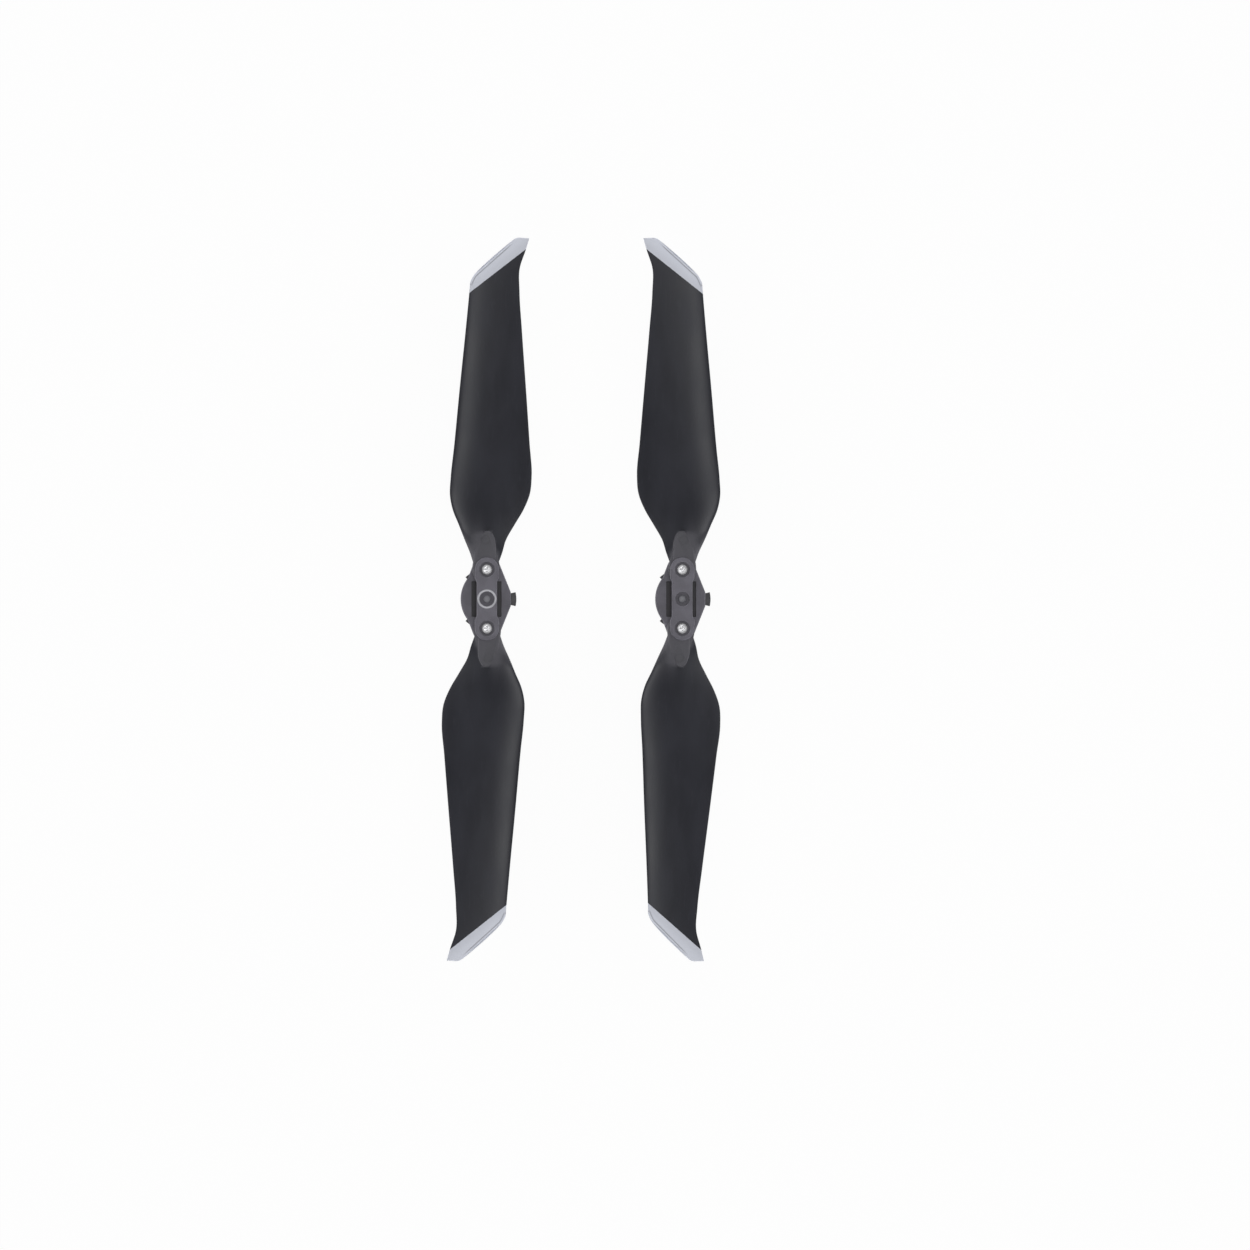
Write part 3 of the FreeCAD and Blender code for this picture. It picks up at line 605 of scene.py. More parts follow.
@dataclass(frozen=True)
class PaintedNylon:
    """Glass-filled nylon of a blade, with its silver-painted tip.

    Attributes:
        name: Name of the material.
        nylon: Colour of the nylon.
        root: Colour of the matt raised flat on the root.
        silver: Colour of the tip paint.
        groove_shade: Colour of the painted shade in the tip's groove.
        roughness: How matt the nylon is.
        root_matt, silver_matt: How much more matt the root and the paint are.
        silver_metal: How metallic the paint is.
        gloss: Strength of the mirror-like part, 0.5 being plain plastic.
        fibre, fibre_rise: Width and height of the glass fibres, which run along the blade.
        flow: Width of the cloudy streaks in which the nylon filled its mould.
        grain, grain_rise: Width and height of the mould's grain.
        flake: Distance between the flakes of the paint.
        ragged: How far the paint's edge wanders.
        rub_width: How far in from an edge it is rubbed.
        soften: Radius that sharp edges catch the light with.
    """

    name: str
    nylon: Colour
    root: Colour
    silver: Colour
    groove_shade: Colour
    roughness: float = 0.40
    root_matt: float = 0.24
    silver_matt: float = 0.14
    silver_metal: float = 0.15
    gloss: float = 0.40
    fibre: float = 0.5 * MM
    fibre_rise: float = 0.003 * MM
    flow: float = 7 * MM
    grain: float = 0.22 * MM
    grain_rise: float = 0.0025 * MM
    flake: float = 0.12 * MM
    ragged: float = 0.03 * MM
    rub_width: float = 0.15 * MM
    soften: float = 0.08 * MM

    def silver_tone(self, recipe: Recipe, place: Socket, reach: Socket) -> Socket:
        """Mixes the paint's colour: flaky, thinner near its edge, with painted shade in the groove.

        Args:
            recipe: The material under construction.
            place: Coordinates on the blade.
            reach: How far inside the painted part a point lies.

        Returns:
            The colour.
        """
        flakes = recipe.spots(place, self.flake)
        bright, dull = toned(self.silver, 1.06), toned(self.silver, 0.95)
        silver = recipe.blend(recipe.spread(flakes, 0.1, 0.7, 0, 1), bright, dull)
        thin = recipe.spread(reach, 0.3 * MM, 3.2 * MM, 0.8, 0)
        silver = recipe.blend(thin, silver, toned(self.silver, 0.86))
        # Painted shade: the tip's groove is darkened where shadow falls in it.
        return recipe.blend(recipe.measure("painted_groove_shade"), silver, self.groove_shade)

    def make(self) -> bpy.types.Material:
        """Builds the material.

        Returns:
            The finished material.
        """
        recipe = Recipe(self.name)
        place = recipe.place("blade_place")
        fibres = recipe.noise(recipe.shifted(place, (0, 0, 0), (1, 0.12, 1)), self.fibre, detail=3, rough=0.6)
        flow = recipe.noise(recipe.shifted(place, (0, 0, 0), (1, 0.35, 1)), self.flow, detail=3)
        grain = recipe.noise(place, self.grain, detail=2, rough=0.6)
        dark, light = toned(self.nylon, 0.86), toned(self.nylon, 1.16)
        tone = recipe.blend(recipe.spread(flow, 0.3, 0.7, 0, 1), dark, light)
        fleck = toned(self.nylon, 1.3, 0.003)
        tone = recipe.blend(recipe.spread(fibres, 0.55, 0.75, 0, 0.6), tone, fleck)
        root = recipe.measure("root_share")
        matt = recipe.blend(recipe.spread(grain, 0.4, 0.65, 0, 1), self.root, toned(self.root, 1.08))
        tone = recipe.blend(root, tone, matt)
        patchy = recipe.spread(flow, 0.4, 0.6, 0.1, 0.55)
        wear = recipe.work("MULTIPLY", recipe.edge_share(self.rub_width), patchy)
        tone = recipe.blend(wear, tone, toned(self.nylon, 1.5, 0.01))
        reach = recipe.measure("silver_reach")
        wander = recipe.spread(grain, 0.3, 0.7, -self.ragged, self.ragged)
        painted = recipe.spread(recipe.work("ADD", reach, wander), -self.ragged, self.ragged, 0, 1)
        tone = recipe.blend(painted, tone, self.silver_tone(recipe, place, reach))
        recipe.join(tone, recipe.shader.inputs["Base Color"])
        skin = recipe.spread(flow, 0.3, 0.7, self.roughness - 0.03, self.roughness + 0.04)
        skin = recipe.work("ADD", skin, recipe.spread(root, 0, 1, 0, self.root_matt))
        skin = recipe.work("ADD", skin, recipe.spread(painted, 0, 1, 0, self.silver_matt))
        recipe.join(skin, recipe.shader.inputs["Roughness"])
        metal = recipe.spread(painted, 0, 1, 0, self.silver_metal)
        recipe.join(metal, recipe.shader.inputs["Metallic"])
        recipe.shader.inputs["Specular IOR Level"].default_value = self.gloss
        recipe.bump([(grain, self.grain_rise), (fibres, self.fibre_rise)], self.soften)
        return recipe.material


@dataclass(frozen=True)
class TurnedMetal:
    """Metal from a lathe: fine rings round the piece's own axis, smudges, and brighter edges.

    Attributes:
        name: First part of the material's name.
        colour: Colour of the metal.
        roughness: How dull it is.
        ring_gap, ring_rise: Distance between the tool marks, and their height.
        metallic: 1 for bare metal, less under oxide or plating.
        smudge, smudge_rise: Width and height of the smudges.
        rub_width: How far in from an edge it is brighter.
        soften: Radius that sharp edges catch the light with.
    """

    name: str
    colour: Colour
    roughness: float = 0.3
    ring_gap: float = 0.09 * MM
    ring_rise: float = 0.0015 * MM
    metallic: float = 1.0
    smudge: float = 0.7 * MM
    smudge_rise: float = 0.003 * MM
    rub_width: float = 0.1 * MM
    soften: float = 0.05 * MM

    def make(self, axis: Point2) -> bpy.types.Material:
        """Builds the material for a piece turned about an upright axis.

        Args:
            axis: Where the axis stands.

        Returns:
            The finished material.
        """
        recipe = Recipe(self.name)
        place = recipe.shifted(recipe.place(), (-axis[0], -axis[1], 0))
        flat = recipe.shifted(place, (0, 0, 0), (1, 1, 0))
        reach = recipe.node("ShaderNodeVectorMath", operation="LENGTH")
        recipe.join(flat, reach.inputs[0])
        turns = recipe.work("MULTIPLY", reach.outputs["Value"], math.tau / self.ring_gap)
        smudge = recipe.noise(place, self.smudge, detail=3)
        marks = recipe.work("SINE", recipe.work("ADD", turns, recipe.spread(smudge, 0, 1, 0, 3)))
        marks = recipe.spread(marks, -1, 1, 0, 1)
        tone = recipe.blend(recipe.spread(smudge, 0.35, 0.65, 0, 1), self.colour, toned(self.colour, 0.86))
        tone = recipe.blend(recipe.edge_share(self.rub_width), tone, toned(self.colour, 1.15, 0.03))
        recipe.join(tone, recipe.shader.inputs["Base Color"])
        skin = recipe.spread(smudge, 0.3, 0.7, self.roughness - 0.06, self.roughness + 0.1)
        recipe.join(skin, recipe.shader.inputs["Roughness"])
        recipe.shader.inputs["Metallic"].default_value = self.metallic
        recipe.bump([(marks, self.ring_rise), (smudge, self.smudge_rise)], self.soften)
        return recipe.material


@dataclass(frozen=True)
class TablePaper:
    """White table paper that looks evenly lit and still keeps the shadows.

    Attributes:
        name: Name of the material.
        white: How white the paper is.
        even: How much of what is seen is the paper's own even light.
    """

    name: str
    white: float = 0.95
    even: float = 0.945

    def make(self) -> bpy.types.Material:
        """Builds the material.

        Returns:
            The finished material.
        """
        recipe = Recipe(self.name)
        recipe.tree.nodes.remove(recipe.shader)
        paper = recipe.node("ShaderNodeBsdfDiffuse")
        recipe.join((self.white, self.white, self.white), paper.inputs["Color"])
        light = recipe.node("ShaderNodeEmission")
        rays = recipe.node("ShaderNodeLightPath").outputs
        mirrored = recipe.work("MAXIMUM", rays["Is Glossy Ray"], rays["Is Transmission Ray"])
        seen = recipe.work("MAXIMUM", rays["Is Camera Ray"], mirrored)
        mix = recipe.node("ShaderNodeMixShader")
        recipe.join(recipe.work("MULTIPLY", seen, self.even), mix.inputs[0])
        recipe.join(paper.outputs[0], mix.inputs[1])
        recipe.join(light.outputs[0], mix.inputs[2])
        recipe.join(mix.outputs[0], recipe.tree.nodes["Material Output"].inputs["Surface"])
        return recipe.material


BLADE_FINISH = PaintedNylon(
    name="blade_nylon", nylon=shade_of(31, 32, 40), root=shade_of(88, 87, 93),
    silver=shade_of(212, 215, 225), groove_shade=shade_of(146, 148, 156))
HUB_FINISH = MouldedPlastic(name="hub_plastic", colour=shade_of(94, 92, 101), roughness=0.55)
RING_FINISH = MouldedPlastic(name="ring_plastic", colour=shade_of(56, 56, 60), roughness=0.5)
PIN_FINISH = MouldedPlastic(
    name="pin_plastic", colour=shade_of(104, 104, 110), roughness=0.42, grain=0.15 * MM)
MARKER_FINISH = MouldedPlastic(
    name="marker_plastic", colour=shade_of(166, 166, 172), roughness=0.4, grain=0.15 * MM, rub=0.3)
SCREW_FINISH = TurnedMetal(name="bright_steel", colour=shade_of(187, 187, 189), roughness=0.42)
SLEEVE_FINISH = TurnedMetal(name="ground_steel", colour=shade_of(190, 190, 190), roughness=0.28)
WASHER_FINISH = TurnedMetal(name="satin_steel", colour=shade_of(182, 182, 184), roughness=0.38)
BRASS_FINISH = TurnedMetal(name="satin_brass", colour=shade_of(214, 180, 112), roughness=0.34)
BLACK_STEEL_FINISH = TurnedMetal(
    name="black_steel", colour=shade_of(58, 58, 60), roughness=0.42, metallic=0.7)


@dataclass(frozen=True)
class Finishes:
    """The materials that several pieces share, each made once.

    Attributes:
        blade: For the four blades.
        hub: For the bases and the bars.
        ring: For the bayonet rings.
        pin: For the centre pins.
        marker: For the pale marker ring.
    """

    blade: bpy.types.Material = field(default_factory=BLADE_FINISH.make)
    hub: bpy.types.Material = field(default_factory=HUB_FINISH.make)
    ring: bpy.types.Material = field(default_factory=RING_FINISH.make)
    pin: bpy.types.Material = field(default_factory=PIN_FINISH.make)
    marker: bpy.types.Material = field(default_factory=MARKER_FINISH.make)


def dress(piece: Piece, material: bpy.types.Material) -> None:
    """Gives a piece one material in place of whatever it had."""
    piece.data.materials.clear()
    piece.data.materials.append(material)


def seat(piece: Piece, body: str, node: str) -> None:
    """Fixes a finished piece to its body, and hides the node that it stands for.

    Args:
        piece: The finished piece.
        body: The body that it moves with.
        node: The CAD node that it stands for.
    """
    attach(piece, body)
    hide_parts(node)
    LOG.info("%s rides on %s, %d faces", piece.name, body, len(piece.data.polygons))


# ---------------------------------------------------------------- where things stand


@dataclass(frozen=True)
class Place:
    """Where one propeller stands, read from the frame.

    Attributes:
        hand: Which propeller it is.
        across: X of its hub axis.
        pivot: Distance from the hub axis to each blade pivot.
        base_low, base_high: Lower and upper face of the base plate.
        bar_low, bar_high: Lower and upper face of the bar.
        head_low, head_high: Lower and upper face of the pivot screws' heads.
        pin_low, pin_high: Lower and upper end of the centre pin.
    """

    hand: Hand
    across: float
    pivot: float
    base_low: float
    base_high: float
    bar_low: float
    bar_high: float
    head_low: float
    head_high: float
    pin_low: float
    pin_high: float

    @classmethod
    def of(cls, hand: Hand, head_height: float = 0.8 * MM) -> "Place":
        """Reads the levels and the axes of one propeller from its nodes' boxes.

        Args:
            hand: Which propeller.
            head_height: Height of a pivot screw's head.

        Returns:
            Its place.
        """
        name = hand.value
        pin_corner, pin_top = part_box(f"{name}_centre_pin")
        bar_corner, bar_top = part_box(f"{name}_hub_bar")
        screw_corner, screw_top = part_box(f"{name}_pivot_screw_a")
        washer_corner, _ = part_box(f"{name}_lower_washer_a")
        return cls(
            hand=hand,
            across=(pin_corner.x + pin_top.x) / 2,
            pivot=(screw_corner.y + screw_top.y) / 2,
            base_low=screw_corner.z,
            base_high=washer_corner.z,
            bar_low=bar_corner.z,
            bar_high=bar_top.z,
            head_low=screw_top.z - head_height,
            head_high=screw_top.z,
            pin_low=pin_corner.z,
            pin_high=pin_top.z,
        )

    def node(self, part: str) -> str:
        """Name of one of this propeller's CAD nodes."""
        return f"{self.hand.value}_{part}"

    @property
    def hub_body(self) -> str:
        """Name of the hub's body."""
        return f"{self.hand.value}_hub"

    def blade_body(self, side: Side) -> str:
        """Name of a blade's body."""
        return f"{self.hand.value}_blade_{side.value}_body"

    def pivot_at(self, side: Side) -> Point2:
        """Where a blade's pivot stands."""
        return self.across, self.pivot if side is Side.A else -self.pivot


# ---------------------------------------------------------------- the hub


@dataclass
class HubBase:
    """The base plate: a round wing, a pointed wing cut square, two pivot pads, a core and two slots.

    Attributes:
        place: Where the propeller stands.
        wing_reach: How far the round wing reaches to the left of the hub axis.
        wing_arc, wing_half: Radius of the round wing's rim, and half of the wing's length.
        apex_reach, apex_cut: Where the pointed wing's two sides would meet, and where it is cut square.
        pad_radius: Radius of the pads under the pivots.
        edge, foot_edge: Rounding of the upper and of the lower rim.
        core_half: Half width of the core block that the bar stands on.
        core_gap: How far before the pivots the core ends.
        core_sunk: How far over the plate's lower face the core starts, inside the plate.
        corner: Rounding of the core's and the slots' upright corners.
        slot_reach, slot_half: How far the slots reach from the middle, and half of their length.
        slot_floor: Thickness left under the slots.
        bore, bore_depth: Radius and depth of the motor shaft's bore.
        bore_lead: Width of the bevels at its mouth and its end.
        flange, flange_deep: Radius and depth of the seat for an insert's flange.
        insert, insert_deep: Radius and depth of the hole for an insert.
        shank: Radius of the hole for a pivot screw.
        ease: How far off a slot's walls and floor a point still counts as in it.
    """

    place: Place
    wing_reach: float = 7.5 * MM
    wing_arc: float = 10.0 * MM
    wing_half: float = 6.2 * MM
    apex_reach: float = 7.9 * MM
    apex_cut: float = 7.1 * MM
    pad_radius: float = 4.15 * MM
    edge: float = 0.5 * MM
    foot_edge: float = 0.12 * MM
    core_half: float = 2.85 * MM
    core_gap: float = 4.55 * MM
    core_sunk: float = 0.5 * MM
    corner: float = 0.25 * MM
    slot_reach: float = 4.35 * MM
    slot_half: float = 5.2 * MM
    slot_floor: float = 0.6 * MM
    bore: float = 1.8 * MM
    bore_depth: float = 4.0 * MM
    bore_lead: Point2 = (0.2 * MM, 0.3 * MM)
    flange: float = 2.0 * MM
    flange_deep: float = 0.4 * MM
    insert: float = 1.35 * MM
    insert_deep: float = 1.7 * MM
    shank: float = 0.85 * MM
    ease: float = 0.05 * MM

    def touch(self, x: float, y: float, side: int) -> Point2:
        """Finds where the tangent from a point meets the upper pivot pad.

        Args:
            x, y: Where the point is.
            side: 1 for the tangent on the right, -1 for the one on the left.

        Returns:
            The touching point.
        """
        pivot, radius = self.place.pivot, self.pad_radius
        span = math.hypot(x, y - pivot)
        cosine = radius / span
        sine = side * math.sqrt(1 - cosine * cosine)
        away_x, away_y = x / span, (y - pivot) / span
        return (radius * (away_x * cosine - away_y * sine),
                pivot + radius * (away_x * sine + away_y * cosine))

    def outline(self) -> list[Point2]:
        """Draws the plate's outline about the hub axis.

        Returns:
            Its points, counter-clockwise from the pointed wing.
        """
        pivot = self.place.pivot
        right = self.touch(self.apex_reach, 0.0, 1)
        cut_y = right[1] * (self.apex_reach - self.apex_cut) / (self.apex_reach - right[0])
        wing_x = self.wing_arc - self.wing_reach
        edge_x = wing_x - math.sqrt(self.wing_arc ** 2 - self.wing_half ** 2)
        left = self.touch(edge_x, self.wing_half, -1)
        first = math.degrees(math.atan2(right[1] - pivot, right[0]))
        last = math.degrees(math.atan2(left[1] - pivot, left[0])) % 360
        half_turn = math.degrees(math.asin(self.wing_half / self.wing_arc))
        upper = arc((0, pivot), self.pad_radius, first, last, 30)
        lower = [(x, -y) for x, y in reversed(upper)]
        wing = arc((wing_x, 0), self.wing_arc, 180 - half_turn, 180 + half_turn, 32)
        return [(self.apex_cut, -cut_y), (self.apex_cut, cut_y), *upper, *wing, *lower]

    def block(self, across: float, half_x: float, half_y: float, low: float, high: float) -> Piece:
        """Models the core, or the tool for a slot: a block with its upright corners rounded.

        Args:
            across: Where its middle stands.
            half_x, half_y: Half its width and half its length.
            low, high: Levels of its foot and its top.

        Returns:
            The block.
        """
        corners = [(across + half_x, -half_y), (across + half_x, half_y),
                   (across - half_x, half_y), (across - half_x, -half_y)]
        made = slab("block", corners, low, high)
        soften_edges(made, lambda one, two: abs(one.z - two.z) > 0.5 * (high - low), self.corner, 3)
        return made

    def build(self) -> Piece:
        """Models the base.

        Returns:
            The finished base, about the hub axis.
        """
        pivot, low, high = self.place.pivot, self.place.base_low, self.place.base_high
        past = 0.1 * MM
        base = slab("hub_base", self.outline(), low, high)
        soften_edges(base, rim_at(high), self.edge, 5)
        soften_edges(base, rim_at(low), self.foot_edge, 2)
        core_low, core_high = low + self.core_sunk, self.place.bar_low
        core = self.block(0.0, self.core_half, pivot - self.core_gap, core_low, core_high)
        combine(base, core, "UNION")
        half = (self.slot_reach - self.core_half) / 2
        for turn in (1, -1):
            middle = turn * (self.slot_reach + self.core_half) / 2
            slot = self.block(middle, half, self.slot_half, low + self.slot_floor, high + past / 10)
            combine(base, slot, "DIFFERENCE")
        mouth, end = self.bore_lead
        bore = lathe("bore", (0, 0), [
            (self.bore + mouth, low - past), (self.bore + mouth, low), (self.bore, low + mouth),
            (self.bore, low + self.bore_depth - end), (self.bore - end, low + self.bore_depth)])
        combine(base, bore, "DIFFERENCE")
        for side in (1, -1):
            hole = lathe("pivot_hole", (0, side * pivot), [
                (self.flange, low - past), (self.flange, low + self.flange_deep),
                (self.insert, low + self.flange_deep), (self.insert, low + self.insert_deep),
                (self.shank, low + self.insert_deep), (self.shank, high + past)], steps=48)
            combine(base, hole, "DIFFERENCE")
        # Marks the slot floors for painted shade.
        self.note_slot_shade(base.data)
        shade(base)
        return base

    def note_slot_shade(self, mesh: bpy.types.Mesh) -> None:
        """Keeps on each point how much painted shade it takes: only the floors of the two slots, where shadow
        falls, take it.

        Args:
            mesh: The base's mesh, about the hub axis.
        """
        spots = np.array([vertex.co for vertex in mesh.vertices])
        across, along, level = np.abs(spots[:, 0]), np.abs(spots[:, 1]), spots[:, 2]
        in_slot = (across > self.core_half - self.ease) & (across < self.slot_reach + self.ease)
        in_slot &= (along < self.slot_half + self.ease) & (level < self.place.base_high - 2 * self.ease)
        in_slot &= level > self.place.base_low + self.slot_floor - self.ease
        slot_shade = mesh.attributes.new("painted_slot_shade", "FLOAT", "POINT")
        slot_shade.data.foreach_set("value", in_slot.astype(np.float32))


@dataclass
class HubBar:
    """The bar clamped over the blade roots, with sunk screw seats and a centre recess.

    Attributes:
        place: Where the propeller stands.
        marked: Whether the recess has a step for the marker ring.
        half_width: Radius of the bar's round ends.
        waist, waist_half: Half width and half length of its middle.
        flare: Length over which the middle widens to the ends.
        edge, foot_edge: Rounding of the upper and of the lower rim.
        seat_radius: Radius of the sunk seats for the screw heads.
        shank: Radius of the holes for the screws.
        recess, recess_deep: Radius and depth of the centre recess.
        marker, marker_deep: Radius and depth of the marker ring's step.
        pin: Radius of the hole for the centre pin.
        mouth: Width of the bevels at the mouths of the seats and the recess.
    """

    place: Place
    marked: bool
    half_width: float = 3.5 * MM
    waist: float = 2.95 * MM
    waist_half: float = 5.5 * MM
    flare: float = 1.5 * MM
    edge: float = 0.4 * MM
    foot_edge: float = 0.1 * MM
    seat_radius: float = 2.2 * MM
    shank: float = 0.85 * MM
    recess: float = 2.05 * MM
    recess_deep: float = 1.2 * MM
    marker: float = 2.8 * MM
    marker_deep: float = 0.4 * MM
    pin: float = 1.15 * MM
    mouth: float = 0.12 * MM

    def outline(self) -> list[Point2]:
        """Draws the bar's outline about the hub axis: two round ends joined by a waist.

        Returns:
            Its points, counter-clockwise.
        """
        pivot, side, waist = self.place.pivot, self.half_width, self.waist
        steps = 10
        ease = []
        for index in range(steps + 1):
            share = index / steps
            y = self.waist_half + self.flare * (share - 0.5)
            ease.append((waist + (side - waist) * smooth(share), y))
        upper_left = [(-x, y) for x, y in reversed(ease)]
        lower_left = [(-x, -y) for x, y in ease]
        lower_right = [(x, -y) for x, y in reversed(ease)]
        return [*ease, *arc((0, pivot), side, 0, 180, 48), *upper_left,
                *lower_left, *arc((0, -pivot), side, 180, 360, 48), *lower_right]

    def build(self) -> Piece:
        """Models the bar.

        Returns:
            The finished bar, about the hub axis.
        """
        low, high, seat_low = self.place.bar_low, self.place.bar_high, self.place.head_low
        below, above, mouth = low - 0.1 * MM, high + 0.2 * MM, self.mouth
        bar = slab("hub_bar", self.outline(), low, high)
        soften_edges(bar, rim_at(high), self.edge, 4)
        soften_edges(bar, rim_at(low), self.foot_edge, 2)
        for side in (1, -1):
            hole = lathe("screw_seat", (0, side * self.place.pivot), [
                (self.shank, below), (self.shank, seat_low), (self.seat_radius, seat_low),
                (self.seat_radius, high - mouth), (self.seat_radius + mouth, high),
                (self.seat_radius + mouth, above)])
            combine(bar, hole, "DIFFERENCE")
        floor = high - self.recess_deep
        profile = [(self.pin, below), (self.pin, floor), (self.recess, floor)]
        if self.marked:
            step = high - self.marker_deep
            profile += [(self.recess, step), (self.marker, step), (self.marker, high), (self.marker, above)]
        else:
            rim = self.recess + mouth
            profile += [(self.recess, high - mouth), (rim, high), (rim, above)]
        combine(bar, lathe("recess", (0, 0), profile), "DIFFERENCE")
        shade(bar)
        return bar


@dataclass
class LockRing:
    """The bayonet ring under the base: three lugs, and four sunk screws with slotted heads.

    Attributes:
        place: Where the propeller stands.
        radius, bore: Outer and inner radius of the ring.
        edge: Width of the bevels on its foot.
        lug_reach, lug_high: How far the lugs reach from the hub axis, and the level of their tops.
        lug_half: Half of the angle that a lug spans, in degrees.
        lug_edge: Rounding of the lugs.
        screw_angle: How far the screws stand from the line across, in degrees.
        screw_head, screw_sink: Radius of a screw's head, and how deep it is sunk.
        head_high, head_edge: Height of a head, and width of its bevel.
        screw_shank, screw_bite: Radius of a screw's shank, and how far it reaches into the base.
        screw_point: Width of the bevel at a shank's end.
        slot_length, slot_width: Size of the slot in a head.
        play: Gap between a screw and its hole.
    """

    place: Place
    radius: float = 6.8 * MM
    bore: float = 4.0 * MM
    edge: float = 0.15 * MM
    lug_reach: float = 8.8 * MM
    lug_high: float = 1.5 * MM
    lug_half: float = 13.5
    lug_edge: float = 0.2 * MM
    screw_angle: float = 25.0
    screw_head: float = 0.95 * MM
    screw_sink: float = 0.1 * MM
    head_high: float = 0.6 * MM
    head_edge: float = 0.1 * MM
    screw_shank: float = 0.5 * MM
    screw_bite: float = 1.2 * MM
    screw_point: float = 0.15 * MM
    slot_length: float = 1.3 * MM
    slot_width: float = 0.3 * MM
    play: float = 0.05 * MM

    def screw_places(self) -> list[Point2]:
        """Finds the centres of the four screws about the hub axis.

        Returns:
            The four centres.
        """
        circle = (self.radius + self.bore) / 2
        x = circle * math.cos(math.radians(self.screw_angle))
        y = circle * math.sin(math.radians(self.screw_angle))
        return [(x, y), (-x, y), (-x, -y), (x, -y)]

    def lug(self, turn: float) -> Piece:
        """Models one lug as a short sector with rounded edges.

        Args:
            turn: The angle that it stands at, in degrees.

        Returns:
            The lug, which starts inside the ring.
        """
        inside = (self.radius + self.bore) / 2
        outer = arc((0, 0), self.lug_reach, turn - self.lug_half, turn + self.lug_half, 12)
        inner = arc((0, 0), inside, turn + self.lug_half, turn - self.lug_half, 12)
        made = slab("lug", [*outer, *inner], 0.0, self.lug_high)
        for level in (self.lug_high, 0.0):
            soften_edges(made, rim_at(level), self.lug_edge, 3)
        return made

    def build(self) -> Piece:
        """Models the ring with its lugs and screw holes.

        Returns:
            The finished ring, about the hub axis.
        """
        high, edge, past = self.place.base_low, self.edge, 0.1 * MM
        ring = lathe("lock_ring", (0, 0), [
            (self.bore + edge, 0.0), (self.radius - edge, 0.0), (self.radius, edge), (self.radius, high),
            (self.bore, high), (self.bore, edge)], tube=True, steps=96)
        for turn in (0.0, 120.0, 240.0):
            combine(ring, self.lug(turn), "UNION")
        sunk = self.screw_sink + self.head_high
        head, shank = self.screw_head + self.play, self.screw_shank + self.play
        for centre in self.screw_places():
            hole = lathe("ring_hole", centre, [
                (head, -past), (head, sunk), (shank, sunk), (shank, high + past)], steps=32)
            combine(ring, hole, "DIFFERENCE")
        shade(ring)
        return ring

    def build_screws(self) -> Piece:
        """Models one slotted screw and copies it to all four places.

        Returns:
            The four screws as one piece, about the hub axis.
        """
        head_top = self.screw_sink + self.head_high
        end = self.place.base_low + self.screw_bite
        screw = lathe("ring_screw", (0, 0), [
            (self.screw_head - self.head_edge, self.screw_sink),
            (self.screw_head, self.screw_sink + self.head_edge),
            (self.screw_head, head_top), (self.screw_shank, head_top),
            (self.screw_shank, end - self.screw_point), (self.screw_shank - self.screw_point, end)], steps=32)
        half, reach = self.slot_width / 2, self.slot_length / 2
        slot = slab("slot", [(reach, -half), (reach, half), (-reach, half), (-reach, -half)],
                    0.0, self.screw_sink + self.head_high / 2)
        combine(screw, slot, "DIFFERENCE")
        shade(screw)
        copies = [copy_piece(screw, "ring_screws", Matrix.Translation((x, y, 0)))
                  for x, y in self.screw_places()]
        bpy.data.objects.remove(screw)
        take(copies[0])
        for twin in copies:
            twin.select_set(True)
        bpy.ops.object.join()
        return bpy.context.object


@dataclass
class CentrePieces:
    """The domed centre pin and, on the counter-clockwise propeller, the pale marker ring round it.

    Attributes:
        place: Where the propeller stands.
        pin_radius: Radius of the pin.
        dome: Height of its domed head, and of the bevel on its foot.
        dome_bend: How far in the dome's corner stands, 0 making the head square.
        ring_inside, ring_outside: Inner and outer radius of the ring.
        ring_high, ring_edge: Height of the ring, and width of the bevels on its upper edges.
    """

    place: Place
    pin_radius: float = 1.15 * MM
    dome: float = 0.25 * MM
    dome_bend: float = 0.3
    ring_inside: float = 2.22 * MM
    ring_outside: float = 2.8 * MM
    ring_high: float = 0.4 * MM
    ring_edge: float = 0.08 * MM

    def pin(self) -> Piece:
        """Models the pin, with a rounded head and a bevelled foot.

        Returns:
            The pin, about the hub axis.
        """
        low, high, radius, dome = self.place.pin_low, self.place.pin_high, self.pin_radius, self.dome
        corner = self.dome_bend * dome
        made = lathe("centre_pin", (0, 0), [
            (radius - dome, low), (radius, low + dome), (radius, high - dome),
            (radius - corner, high - corner), (radius - dome, high)], steps=48)
        shade(made, 50)
        return made

    def ring(self) -> Piece:
        """Models the marker ring, with its upper edges bevelled.

        Returns:
            The ring, about the hub axis.
        """
        high, edge = self.place.bar_high, self.ring_edge
        low, inner, outer = high - self.ring_high, self.ring_inside, self.ring_outside
        made = lathe("marker_ring", (0, 0), [
            (inner, low), (outer, low), (outer, high - edge), (outer - edge, high), (inner + edge, high),
            (inner, high - edge)], tube=True, steps=72)
        shade(made)
        return made


